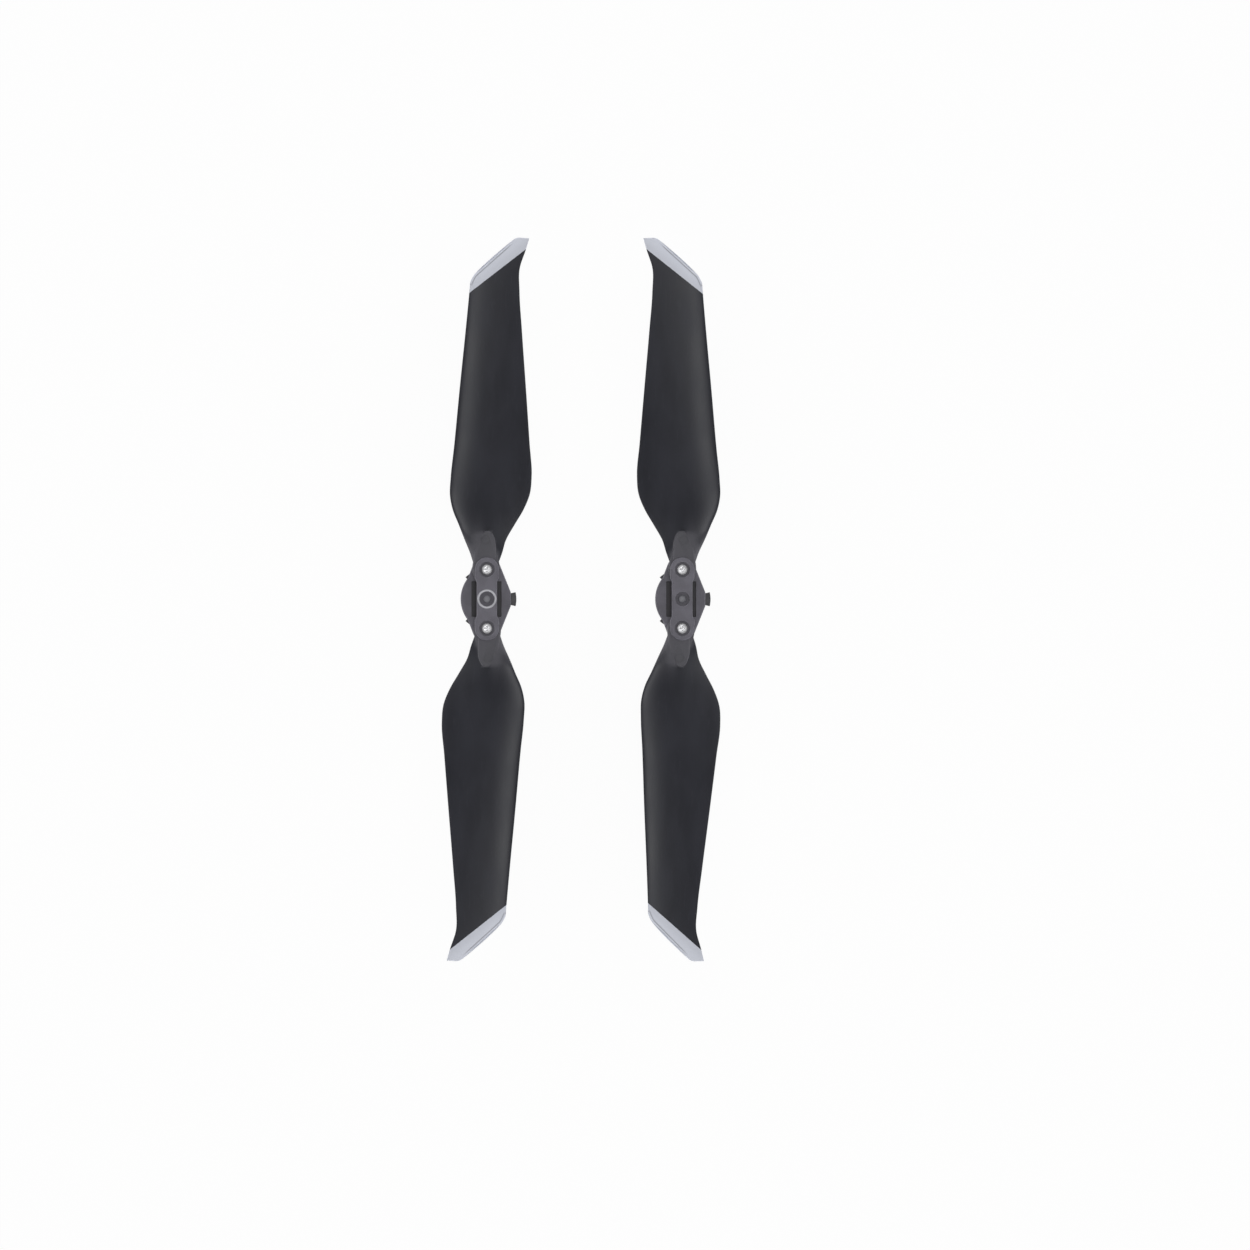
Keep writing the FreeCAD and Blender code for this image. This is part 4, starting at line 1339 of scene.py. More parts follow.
@dataclass
class PivotPieces:
    """What holds one blade: a cross-recessed screw, a sleeve, two thrust washers and a threaded insert.

    Attributes:
        place: Where the propeller stands.
        head, head_edge: Radius of the screw's head, and width of the rounding on it.
        head_corner: How far in from the head's corner the middle of that rounding stands.
        shank, shank_point: Radius of the screw's shank, and width of the bevel at its end.
        arm_half, arm_reach: Half width and length of an arm of the cross recess.
        drive_deep: Depth of the recess.
        drive_taper: Size of the recess's floor, as a share of its mouth.
        sleeve_inside, sleeve_outside: Inner and outer radius of the sleeve.
        sleeve_edge: Width of the bevels on the sleeve.
        washer_inside, washer_outside: Inner and outer radius of a washer.
        washer_high, washer_edge: Thickness of a washer, and width of its bevels.
        insert_body, insert_flange: Radius of the insert and of its flange.
        flange_high, insert_high: Height of the flange and of the whole insert.
        insert_edge: Width of the bevels on the insert.
    """

    place: Place
    head: float = 1.5 * MM
    head_edge: float = 0.15 * MM
    head_corner: float = 0.05 * MM
    shank: float = 0.8 * MM
    shank_point: float = 0.12 * MM
    arm_half: float = 0.18 * MM
    arm_reach: float = 0.75 * MM
    drive_deep: float = 0.4 * MM
    drive_taper: float = 0.72
    sleeve_inside: float = 0.85 * MM
    sleeve_outside: float = 1.5 * MM
    sleeve_edge: float = 0.06 * MM
    washer_inside: float = 1.55 * MM
    washer_outside: float = 3.2 * MM
    washer_high: float = 0.25 * MM
    washer_edge: float = 0.05 * MM
    insert_body: float = 1.35 * MM
    insert_flange: float = 2.0 * MM
    flange_high: float = 0.4 * MM
    insert_high: float = 1.7 * MM
    insert_edge: float = 0.08 * MM

    def drive(self, top: float) -> Piece:
        """Models the cross-shaped tool that sinks the screw's recess, narrower at its foot.

        Args:
            top: Level of the head's top.

        Returns:
            The tool.
        """
        arm, reach, floor = self.arm_half, self.arm_reach, top - self.drive_deep
        corners = [(reach, -arm), (reach, arm), (arm, arm), (arm, reach), (-arm, reach), (-arm, arm),
                   (-reach, arm), (-reach, -arm), (-arm, -arm), (-arm, -reach), (arm, -reach), (arm, -arm)]
        made = slab("drive", corners, floor, top + 0.1 * MM)
        taper = (self.drive_taper, self.drive_taper, 1)
        with editing(made) as mesh:
            for face in mesh.faces:
                face.select_set(face.normal.z < -0.9)
            bmesh.update_edit_mesh(made.data)
            bpy.ops.transform.resize(value=taper, center_override=(0, 0, floor))
        return made

    def screw(self) -> Piece:
        """Models the pivot screw.

        Returns:
            The screw, about its own axis.
        """
        low, under, top = self.place.base_low, self.place.head_low, self.place.head_high
        point, edge, corner = self.shank_point, self.head_edge, self.head_corner
        made = lathe("pivot_screw", (0, 0), [
            (self.shank - point, low), (self.shank, low + point), (self.shank, under), (self.head, under),
            (self.head, top - edge), (self.head - corner, top - corner), (self.head - edge, top)], steps=64)
        combine(made, self.drive(top), "DIFFERENCE")
        shade(made)
        return made

    def collar(self, name: str, inside: float, outside: float, low: float, high: float, edge: float,
               steps: int) -> Piece:
        """Models a plain collar with its two outer edges bevelled, such as a sleeve or a washer.

        Args:
            name: Name of the new object.
            inside, outside: Its inner and its outer radius.
            low, high: Levels of its foot and its top.
            edge: Width of the bevels.
            steps: Points round it.

        Returns:
            The collar, about its own axis.
        """
        made = lathe(name, (0, 0), [
            (inside, low), (outside - edge, low), (outside, low + edge), (outside, high - edge),
            (outside - edge, high), (inside, high)], tube=True, steps=steps)
        shade(made)
        return made

    def sleeve(self) -> Piece:
        """Models the ground sleeve that a blade turns on."""
        return self.collar("pivot_sleeve", self.sleeve_inside, self.sleeve_outside,
                           self.place.base_high, self.place.bar_low, self.sleeve_edge, 48)

    def washer(self, low: float) -> Piece:
        """Models a thrust washer that lies on a level."""
        return self.collar("thrust_washer", self.washer_inside, self.washer_outside,
                           low, low + self.washer_high, self.washer_edge, 72)

    def insert(self) -> Piece:
        """Models the brass insert, flanged at its foot, with a bevelled mouth.

        Returns:
            The insert, about its own axis.
        """
        low, edge = self.place.base_low, self.insert_edge
        step, high = low + self.flange_high, low + self.insert_high
        made = lathe("threaded_insert", (0, 0), [
            (self.shank + edge, low), (self.insert_flange - edge, low), (self.insert_flange, low + edge),
            (self.insert_flange, step), (self.insert_body, step), (self.insert_body, high),
            (self.shank, high), (self.shank, low + edge)], tube=True, steps=48)
        shade(made)
        return made


@dataclass(frozen=True)
class Kind:
    """One kind of hub piece: its model, and what its copies are called and stand for.

    Attributes:
        model: The piece, modelled about its own axis.
        name: Name of a copy, less the names of its propeller and side.
        node: The CAD node that a copy stands for, named in the same way.
        slot: The record's material slot; not used.
        finish: A shared material, or the metal whose rings go round each copy's own axis.
    """

    model: Piece
    name: str
    node: str
    slot: str
    finish: bpy.types.Material | TurnedMetal

    def copy_to(self, place: Place, side: Side | None = None) -> None:
        """Copies the model to one propeller, dresses it and fixes it to the hub.

        Args:
            place: Where the propeller stands.
            side: The blade whose pivot it stands on; without it, it stands on the hub axis.
        """
        across, along = place.pivot_at(side) if side else (place.across, 0.0)
        ending = f"_{side.value}" if side else ""
        spot = Matrix.Translation((across, along, 0))
        made = copy_piece(self.model, place.node(self.name + ending), spot)
        finish = self.finish
        dress(made, finish.make((across, along)) if isinstance(finish, TurnedMetal) else finish)
        seat(made, place.hub_body, place.node(self.node + ending))


@dataclass
class Hubs:
    """Both hubs with all that is fixed to them: each kind of piece is modelled once and copied.

    Attributes:
        places: Where the two propellers stand.
        finishes: The shared materials.
    """

    places: Sequence[Place]
    finishes: Finishes

    def central_kinds(self) -> dict[str, Kind]:
        """Models what stands on a hub axis.

        Returns:
            The kinds by name, in the order in which they are set.
        """
        place, finishes = self.places[0], self.finishes
        lock, centre = LockRing(place), CentrePieces(place)
        kinds = [
            Kind(HubBase(place).build(), "base_plate", "hub_base", "hub_plastic", finishes.hub),
            Kind(HubBar(place, True).build(), "top_bar", "hub_bar", "hub_plastic", finishes.hub),
            Kind(lock.build(), "bayonet_ring", "lock_ring", "ring_plastic", finishes.ring),
            Kind(lock.build_screws(), "ring_screws", "lock_ring_screws", "dark_screw", BLACK_STEEL_FINISH),
            Kind(centre.pin(), "hub_pin", "centre_pin", "pin_plastic", finishes.pin),
            Kind(centre.ring(), "pale_ring", "marker_ring", "marker_ring", finishes.marker),
        ]
        return {kind.name: kind for kind in kinds}

    def pivot_kinds(self) -> list[Kind]:
        """Models what stands on a blade's pivot.

        Returns:
            The kinds, in the order in which they are set.
        """
        pieces = PivotPieces(self.places[0])
        below, above = pieces.place.base_high, pieces.place.bar_low - pieces.washer_high
        return [
            Kind(pieces.screw(), "steel_screw", "pivot_screw", "pivot_screw", SCREW_FINISH),
            Kind(pieces.sleeve(), "sleeve", "pivot_sleeve", "pivot_sleeve", SLEEVE_FINISH),
            Kind(pieces.washer(below), "washer_below", "lower_washer", "thrust_washer", WASHER_FINISH),
            Kind(pieces.washer(above), "washer_above", "upper_washer", "thrust_washer", WASHER_FINISH),
            Kind(pieces.insert(), "insert", "threaded_insert", "brass_insert", BRASS_FINISH),
        ]

    def build(self) -> None:
        """Models every kind of hub piece, and sets its copies on both propellers."""
        central, pivots = self.central_kinds(), self.pivot_kinds()
        plain = HubBar(self.places[0], False).build()
        plain_bar = Kind(plain, "top_bar", "hub_bar", "hub_plastic", self.finishes.hub)
        for place in self.places:
            kinds = dict(central)
            if place.hand is not Hand.COUNTER:
                kinds["top_bar"] = plain_bar
                del kinds["pale_ring"]
            for kind in kinds.values():
                kind.copy_to(place)
            for kind in pivots:
                for side in Side:
                    kind.copy_to(place, side)
        for kind in (*central.values(), plain_bar, *pivots):
            bpy.data.objects.remove(kind.model)


# ---------------------------------------------------------------- the blades


class SmoothLine:
    """A smooth curve through given points, y as a function of x."""

    def __init__(self, points: Sequence[Point2]) -> None:
        """Keeps the points and works out a slope at each.

        Args:
            points: Points in order of growing x.
        """
        self.x = np.array([point[0] for point in points])
        self.y = np.array([point[1] for point in points])
        step = np.diff(self.x)
        rise = np.diff(self.y) / step
        slope = np.empty_like(self.x)
        slope[0], slope[-1] = rise[0], rise[-1]
        slope[1:-1] = (rise[:-1] * step[1:] + rise[1:] * step[:-1]) / (step[:-1] + step[1:])
        self.slope = slope

    def at(self, x: Values) -> Values:
        """Reads the curve.

        Args:
            x: Where it is read; beyond its ends it stays level.

        Returns:
            Its height at each x.
        """
        x = np.clip(x, self.x[0], self.x[-1])
        left = np.clip(np.searchsorted(self.x, x, side="right") - 1, 0, len(self.x) - 2)
        step = self.x[left + 1] - self.x[left]
        t = (x - self.x[left]) / step
        return (self.y[left] * (1 + 2 * t) * (1 - t) ** 2 + self.slope[left] * step * t * (1 - t) ** 2
                + self.y[left + 1] * t * t * (3 - 2 * t) + self.slope[left + 1] * step * t * t * (t - 1))


@dataclass(frozen=True)
class Station:
    """One blade section.

    Attributes:
        lead: Its leading edge, as shares of the span and of the widest chord.
        trail: Its trailing edge, in the same way.
        fullness: 1 for the thickness at the root, 0 for that at the tip.
    """

    lead: Point2
    trail: Point2
    fullness: float


STATIONS = (
    Station((0.100, -0.165), (0.100, 0.145), 0.90),
    Station((0.128, -0.206), (0.128, 0.190), 0.72),
    Station((0.163, -0.272), (0.163, 0.236), 0.55),
    Station((0.205, -0.347), (0.205, 0.340), 0.43),
    Station((0.245, -0.420), (0.245, 0.445), 0.35),
    Station((0.285, -0.455), (0.290, 0.527), 0.30),
    Station((0.330, -0.448), (0.340, 0.550), 0.27),
    Station((0.420, -0.407), (0.430, 0.522), 0.23),
    Station((0.580, -0.342), (0.580, 0.473), 0.17),
    Station((0.740, -0.273), (0.740, 0.419), 0.11),
    Station((0.830, -0.236), (0.850, 0.386), 0.06),
    Station((0.880, -0.217), (0.915, 0.388), 0.02),
    Station((0.935, -0.196), (0.965, 0.460), 0.00),
    Station((0.990, -0.175), (1.020, 0.530), 0.00),
)


TIP_NOSE = ((0.847, -0.246), (0.876, -0.215), (0.8955, -0.168))
TIP_SHOULDER = ((0.9905, 0.295), (0.9965, 0.333), (0.9990, 0.380))
TIP_HORN = ((0.9975, 0.480), (0.9975, 0.530))

# Half thickness of a classic wing section, by powers of the share of the chord from a half up.
SECTION = ((0.5, 0.2969), (1, -0.1260), (2, -0.3516), (3, 0.2843), (4, -0.1036))

# How far before the tip's edge the last lines across the blade lie, closer where it rounds over.
TIP_LINES = (3.0, 2.4, 1.9, 1.5, 1.2, 1.0, 0.9, 0.82, 0.76, 0.70, 0.64, 0.58, 0.5, 0.4, 0.3, 0.21, 0.13,
             0.07, 0.03, 0.01, 0.0)


def quarter_round(share: Values) -> Values:
    """Height of a quarter circle, 0 to 1, at a share of the way in from its foot."""
    return np.sqrt(1 - (1 - share) ** 2)


def through(first: Point2, middle: Point2, last: Point2, steps: int) -> list[Point2]:
    """Finds points on the circular arc through three points.

    Args:
        first, middle, last: The three points.
        steps: Number of equal steps.

    Returns:
        steps + 1 points from first to last.
    """
    (ax, ay), (bx, by), (cx, cy) = first, middle, last
    scale = 2 * (ax * (by - cy) + bx * (cy - ay) + cx * (ay - by))
    a2, b2, c2 = ax * ax + ay * ay, bx * bx + by * by, cx * cx + cy * cy
    x = (a2 * (by - cy) + b2 * (cy - ay) + c2 * (ay - by)) / scale
    y = (a2 * (cx - bx) + b2 * (ax - cx) + c2 * (bx - ax)) / scale
    start, end = math.atan2(ay - y, ax - x), math.atan2(cy - y, cx - x)
    turn = (end - start + math.pi) % math.tau - math.pi
    return arc((x, y), math.hypot(ax - x, ay - y), math.degrees(start), math.degrees(start + turn), steps)


@dataclass
class BladeForm:
    """The counter-clockwise blade about its own pivot, pointing along +Y.

    Attributes:
        pivot: Distance from the hub axis to the pivot.
        root_low, root_high: Lower and upper face of the flat root.
        span: Distance from the hub axis to the tip.
        chord: Widest distance between the edges.
        pitch: How far the propeller would screw itself forward in one turn.
        steepest: Largest blade angle, in degrees.
        camber, camber_at: Height of the section's arch and where it is highest, as shares of the chord.
        camber_fade: Where along the span the arch starts and stops getting lower.
        camber_loss: How much of the arch is lost there.
        tip_thick: Thickness at the tip.
        spar_thick: Thickness that the fullest section would have.
        tail_thick: Thickness of the trailing edge.
        lead_half, trail_half: Half width of the flat root on its leading and its trailing side.
        neck_length, twist_length: How far the root stays untwisted, and where the twist has all come in.
        tongue_length: How far the raised tongue reaches from the pivot.
        tongue_straight: Where its trailing side starts to bend in.
        tongue_half, tongue_lead_half: Its half width on the trailing and on the leading side.
        tongue_rise, tongue_edge: Its height over the flat root, and the rounding of its rim.
        root_edges: Rounding of the flat root's lower and upper rim.
        seat_radius, seat_lead: Radius of the washer's seat, and how much wider it is at its mouth.
        mark_at, mark_radius: Centre and radius of the ejector mark.
        mark_deep, mark_lead: Its depth, and how much wider it is at its mouth.
        bore, bore_lead: Radius of the bore for the sleeve, and width of its bevels.
        skin_under: How far the wing's middle line lies under the root's.
        rim_round: How far in from the tip's edge it is rounded.
        tail_round: The same for the trailing edge, as a share of its thickness.
        groove_in: How far in from the tip's edge its groove runs.
        groove_wide, groove_deep: Half width and depth of the groove.
        groove_end, groove_fade: Where it runs out, and over what length, as shares of the chord.
        across_steps: Faces across each skin.
        paint_from, paint_to: Where the paint's edge starts and ends, from the hub axis.
        lead, trail: The leading and the trailing edge.
        lead_full, trail_full: Fullness along the two edges.
        tip, tip_share: The tip's outline, and the share of the chord at each of its points.
    """

    pivot: float
    root_low: float
    root_high: float
    span: float = 105.4 * MM
    chord: float = 23.8 * MM
    pitch: float = 78.7 * MM
    steepest: float = 25.5
    camber: float = 0.045
    camber_at: float = 0.33
    camber_fade: Point2 = (0.45, 0.85)
    camber_loss: float = 0.8
    tip_thick: float = 0.75 * MM
    spar_thick: float = 3.0 * MM
    tail_thick: float = 0.3 * MM
    lead_half: float = 4.15 * MM
    trail_half: float = 3.75 * MM
    neck_length: float = 3.0 * MM
    twist_length: float = 12.5 * MM
    tongue_length: float = 11.3 * MM
    tongue_straight: float = 6.6 * MM
    tongue_half: float = 2.6 * MM
    tongue_lead_half: float = 4.0 * MM
    tongue_rise: float = 0.25 * MM
    tongue_edge: float = 0.35 * MM
    root_edges: Point2 = (0.25 * MM, 0.12 * MM)
    seat_radius: float = 3.4 * MM
    seat_lead: float = 0.1 * MM
    mark_at: Point2 = (-0.4 * MM, 8.6 * MM)
    mark_radius: float = 1.25 * MM
    mark_deep: float = 0.05 * MM
    mark_lead: float = 0.06 * MM
    bore: float = 1.53 * MM
    bore_lead: float = 0.15 * MM
    skin_under: float = 0.015 * MM
    rim_round: float = 0.4 * MM
    tail_round: float = 0.6
    groove_in: float = 0.72 * MM
    groove_wide: float = 0.13 * MM
    groove_deep: float = 0.05 * MM
    groove_end: float = 0.72
    groove_fade: float = 0.08
    across_steps: int = 40
    paint_from: Point2 = (-4.0 * MM, 90.05 * MM)
    paint_to: Point2 = (10.7 * MM, 101.7 * MM)
    lead: SmoothLine = field(init=False)
    trail: SmoothLine = field(init=False)
    lead_full: SmoothLine = field(init=False)
    trail_full: SmoothLine = field(init=False)
    tip: Values = field(init=False)
    tip_share: Values = field(init=False)

    def __post_init__(self) -> None:
        """Works out the edge curves and the tip's outline."""
        self.lead = SmoothLine([station.lead for station in STATIONS])
        self.trail = SmoothLine([station.trail for station in STATIONS])
        self.lead_full = SmoothLine([(station.lead[0], station.fullness) for station in STATIONS])
        self.trail_full = SmoothLine([(station.trail[0], station.fullness) for station in STATIONS])
        nose = [self.point(*share) for share in TIP_NOSE]
        shoulder = [self.point(*share) for share in TIP_SHOULDER]
        horn = [self.point(*share) for share in TIP_HORN]
        outline = np.array([*through(*nose, 14), *through(*shoulder, 12), *horn])
        across = self.share_across(outline[:, 0], outline[:, 1])
        self.tip_share = np.concatenate([[0.0], across[(across > 0) & (across < 1)], [1.0]])
        self.tip = np.stack([np.interp(self.tip_share, across, outline[:, part]) for part in (0, 1)], axis=1)

    def point(self, along: float, across: float) -> Point2:
        """A point of the plan from shares of the span and of the chord."""
        return across * self.chord, along * self.span - self.pivot

    def edges(self, y: Values) -> tuple[Values, Values]:
        """Where the leading and the trailing edge lie across, at places along the blade."""
        along = (y + self.pivot) / self.span
        return self.chord * self.lead.at(along), self.chord * self.trail.at(along)

    def share_across(self, x: Values, y: Values) -> Values:
        """How far from the leading to the trailing edge a place lies, 0 to 1."""
        lead_x, trail_x = self.edges(y)
        return (x - lead_x) / (trail_x - lead_x)

    def angle(self, x: Values, y: Values) -> Values:
        """Works out the blade angle: constant pitch outboard, eased inboard, none at the flat root.

        Args:
            x, y: Places across and along the blade.

        Returns:
            The angles in radians.
        """
        reach = np.hypot(x, y + self.pivot)
        limit = math.radians(self.steepest)
        helix = limit * np.tanh(np.arctan(self.pitch / (math.tau * reach)) / limit)
        flat_until = self.pivot + self.neck_length
        fade = np.clip((reach - flat_until) / (self.twist_length - self.neck_length), 0, 1)
        return helix * smooth(fade)

    def tip_gap(self, x: Values, y: Values) -> Values:
        """Measures in plan how far places lie from the tip's outline.

        Args:
            x, y: Places across and along the blade.

        Returns:
            The distances.
        """
        start, end = self.tip[:-1], self.tip[1:]
        leg = end - start
        spot = np.stack([x.ravel(), y.ravel()], axis=1)[:, None, :] - start[None]
        share = np.clip((spot * leg).sum(2) / (leg * leg).sum(1), 0, 1)
        return np.linalg.norm(spot - share[..., None] * leg, axis=2).min(1).reshape(x.shape)

    def groove(self, gap: Values, across: Values) -> Values:
        """How deep in the tip's groove a place lies, 0 to 1; the groove ends before the trailing horn."""
        runs = np.clip((self.groove_end - across) / self.groove_fade, 0, 1)
        return np.exp(-((gap - self.groove_in) / self.groove_wide) ** 2) * runs

    def camber_line(self, across: Values) -> Values:
        """Works out the section's arch, which is highest near the leading edge.

        Args:
            across: Shares of the chord from the leading edge.

        Returns:
            The arch's height over the chord, 0 to 1.
        """
        top = self.camber_at
        front = (2 * top * across - across ** 2) / top ** 2
        back = (1 - 2 * top + 2 * top * across - across ** 2) / (1 - top) ** 2
        return np.where(across < top, front, back)

    def skin(self, y: Values, across: Values, side: float, body: float = 1.0) -> Values:
        """Points on the blade's upper or lower skin.

        Args:
            y, across: Places along the blade, and shares of the chord from the leading edge.
            side: 1 for the upper skin, -1 for the lower one.
            body: 1 for the full thickness, 0 for the middle line alone.

        Returns:
            The points, in the last axis of the array.
        """
        share = (y + self.pivot) / self.span
        lead_x, trail_x = self.edges(y)
        x = (1 - across) * lead_x + across * trail_x
        middle = (self.root_low + self.root_high) / 2 - self.skin_under
        lead_z = middle - lead_x * np.tan(self.angle(lead_x, y))
        trail_z = middle - trail_x * np.tan(self.angle(trail_x, y))
        full = (1 - across) * self.lead_full.at(share) + across * self.trail_full.at(share)
        thick = self.tip_thick + full * (self.spar_thick - self.tip_thick)
        width = trail_x - lead_x
        tilt = np.arctan2(lead_z - trail_z, width)
        fade_from, fade_to = self.camber_fade
        loss = self.camber_loss * np.clip((share - fade_from) / (fade_to - fade_from), 0, 1)
        rise = self.camber * (1 - full) * (1 - loss) * width * self.camber_line(across)
        profile = sum(factor * across ** power for power, factor in SECTION)
        half = 5 * thick * profile + self.tail_thick / 2 * across
        gap = self.tip_gap(x, y)
        half = half * quarter_round(np.clip(gap / self.rim_round, 0, 1))
        tail = (1 - across) * width / (self.tail_round * self.tail_thick)
        half = half * quarter_round(np.clip(tail, 0, 1)) * body
        lift = rise + side * half
        if side > 0:
            lift = lift - self.groove_deep * self.groove(gap, across) * body
        z = (1 - across) * lead_z + across * trail_z
        return np.stack([x + np.sin(tilt) * lift, y, z + np.cos(tilt) * lift], axis=-1)

    def rows(self, across: Values) -> list[Values]:
        """Lays lines across the blade from root to tip, fanned out so that the last is the tip's own edge.

        Args:
            across: Shares of the chord at which each line has its points.

        Returns:
            For each line, its places along the blade.
        """
        lines = []
        # Straight lines, closer near the root, which lean a little where the blade is widest.
        for along in np.concatenate([np.linspace(0.100, 0.33, 34), np.linspace(0.34, 0.735, 42)]):
            skew = 0.01 * np.clip((along - 0.25) / 0.1, 0, 1) * np.clip((0.5 - along) / 0.1, 0, 1)
            lines.append((along + skew * across) * self.span - self.pivot)
        # Then a fan that bends from straight across into the tip's own outline.
        travel, even_until = 16 * MM, 3.3 * MM
        start = 0.74 * self.span - self.pivot
        tip_y = np.interp(across, self.tip_share, self.tip[:, 1])
        straight = tip_y[0] + (tip_y[-1] - tip_y[0]) * across
        even = np.linspace(0.0, 1 - even_until / travel, 26)
        for step in np.concatenate([even, 1 - np.array(TIP_LINES) * MM / travel]):
            lines.append(start + (straight - start) * step + (tip_y - straight) * step ** 3)
        return lines

    def wing(self) -> Piece:
        """Models the blade from neck to tip: a grid wrapped round its sections and welded where it meets.

        Returns:
            The closed wing, about its pivot.
        """
        turn = np.pi * np.arange(self.across_steps + 1) / self.across_steps
        share = (1 - np.cos(turn)) / 2
        lean = 0.65
        share = (1 - lean) * share + lean * share ** 1.5
        share[-1] = 1.0
        rows = self.rows(share)
        clear_selection()
        bpy.ops.mesh.primitive_grid_add(
            x_subdivisions=2 * self.across_steps, y_subdivisions=len(rows) - 1, size=2, location=(0, 0, 0))
        made = bpy.context.object
        made.name = "wing"
        grid = sorted(made.data.vertices, key=lambda vertex: (round(vertex.co.y, 5), vertex.co.x))
        spots: list[Values] = []
        for number, y in enumerate(rows):
            body = 0.0 if number == len(rows) - 1 else 1.0
            upper = self.skin(y, share, 1.0, body)
            lower = self.skin(y, share, -1.0, body)
            spots.extend([*upper, *lower[-2::-1]])
        for vertex, spot in zip(grid, spots, strict=True):
            vertex.co = spot
        weld = 0.0001 * MM
        tidy_shell(made, weld)
        with editing(made, "VERT"):
            bpy.ops.mesh.select_non_manifold()
            bpy.ops.mesh.edge_face_add()
        tidy_shell(made, weld)
        return made

    def root_plan(self, length: float) -> list[Point2]:
        """Draws the flat neck: half round behind the pivot, and half a longer ellipse in front of it.

        Args:
            length: How far it reaches in front of the pivot.

        Returns:
            The points of its outline, counter-clockwise.
        """
        lead, trail = self.lead_half, self.trail_half
        return [(x * (lead if x < 0 else trail), y * (length if y > 0 else lead))
                for x, y in arc((0, 0), 1.0, 0, 360, 104)]

    def tongue_edge_at(self, y: float) -> float:
        """Half width of the tongue on the trailing side, at a distance in front of the pivot."""
        bend = max(y - self.tongue_straight, 0.0) / (self.tongue_length - self.tongue_straight)
        return self.tongue_half * math.sqrt(max(1 - bend * bend, 0.0))

    def tongue_plan(self) -> list[Point2]:
        """Draws the raised tongue: blunt and full on the trailing side, wide on the leading side.

        Returns:
            The points of its outline, counter-clockwise.
        """
        lead, trail, length = self.tongue_lead_half, self.tongue_half, self.tongue_length
        front = arc((0, 0), 1.0, 0, 180, 72)
        back = arc((0, 0), 1.0, 180, 360, 40)
        return [*((self.tongue_edge_at(y * length) if x > 0 else x * lead, y * length) for x, y in front),
                *((x * (lead if x < 0 else trail), y * lead) for x, y in back)]

    def build(self) -> Piece:
        """Models the blade about its pivot: the wing, the flat neck, the raised tongue and the bore.

        Returns:
            The finished blade.
        """
        low, high, crest = self.root_low, self.root_high, self.root_high + self.tongue_rise
        past, foot_edge, top_edge = 0.05 * MM, *self.root_edges
        blade = self.wing()
        neck = slab("neck", self.root_plan(self.neck_length + self.lead_half), low, high)
        soften_edges(neck, rim_at(low), foot_edge, 3)
        soften_edges(neck, rim_at(high), top_edge, 2)
        tongue = slab("tongue", self.tongue_plan(), (low + high) / 2, crest)
        soften_edges(tongue, rim_at(crest), self.tongue_edge, 5)
        washer_seat = lathe("washer_seat", (0, 0), [
            (self.seat_radius, high), (self.seat_radius, crest - past),
            (self.seat_radius + self.seat_lead, crest + past)], steps=72)
        combine(tongue, washer_seat, "DIFFERENCE")
        mark = lathe("ejector_mark", self.mark_at, [
            (self.mark_radius, crest - self.mark_deep),
            (self.mark_radius + self.mark_lead, crest + past)], steps=40)
        combine(tongue, mark, "DIFFERENCE")
        combine(blade, neck, "UNION")
        combine(blade, tongue, "UNION")
        lead, mouth = self.bore_lead, self.bore + self.bore_lead
        bore = lathe("bore", (0, 0), [
            (mouth, low - 2 * past), (mouth, low), (self.bore, low + lead), (self.bore, high - lead),
            (mouth, high), (mouth, high + 2 * past)], steps=48)
        combine(blade, bore, "DIFFERENCE")
        tidy_shell(blade, 0.0002 * MM)
        self.note_places(blade.data)
        shade(blade, 30)
        return blade

    def root_tone(self, x: Values, y: Values, z: Values) -> Values:
        """Works out how much of the root's matt tone each place has.

        Args:
            x, y, z: Places across, in front of the pivot and upwards.

        Returns:
            1 for the full matt tone, 0 for plain nylon.
        """
        lead_share = np.clip(-x / self.lead_half, 0, 1)
        # The tongue ends sharply at its trailing side, and fades out over a longer way at the leading one.
        rim = np.array([self.tongue_edge_at(part) for part in y]) + 0.12 * MM
        inside = np.clip((rim - x) / (0.25 * MM) + 0.5, 0, 1)
        end = self.tongue_length + (0.1 + lead_share) * MM
        fade = smooth(np.clip((end - y) / ((0.4 + 2.2 * lead_share) * MM), 0, 1))
        # A haze goes on past it along the leading side, and the neck behind it is matt all over.
        haze = np.clip(1 - (y - self.tongue_length) / (8 * MM), 0, 1) ** 2
        haze = 0.26 * np.clip(1.8 * lead_share, 0, 1) * haze
        neck = 0.8 * np.clip((6.3 * MM - y) / (1.2 * MM), 0, 1)
        # The tone wears off outwards, and it is weaker in the ejector mark and at the leading corner.
        worn = 0.95 - 0.065 * np.clip(y / MM - 5, 0, None)
        from_mark = np.hypot(x - self.mark_at[0], y - self.mark_at[1])
        worn = worn - 0.22 * np.clip((self.mark_radius - from_mark) / (0.2 * MM) + 1, 0, 1)
        corner = 0.23 * np.clip(-x / MM - 3, 0, 2) * np.clip(y / MM / 2 - 3, 0, 1)
        tone = np.maximum(inside * fade, neck) * worn * (1 - corner)
        on_top = np.clip((z - (self.root_low + self.root_high) / 2) / (0.5 * MM), 0, 1)
        return np.maximum(tone, haze) * on_top

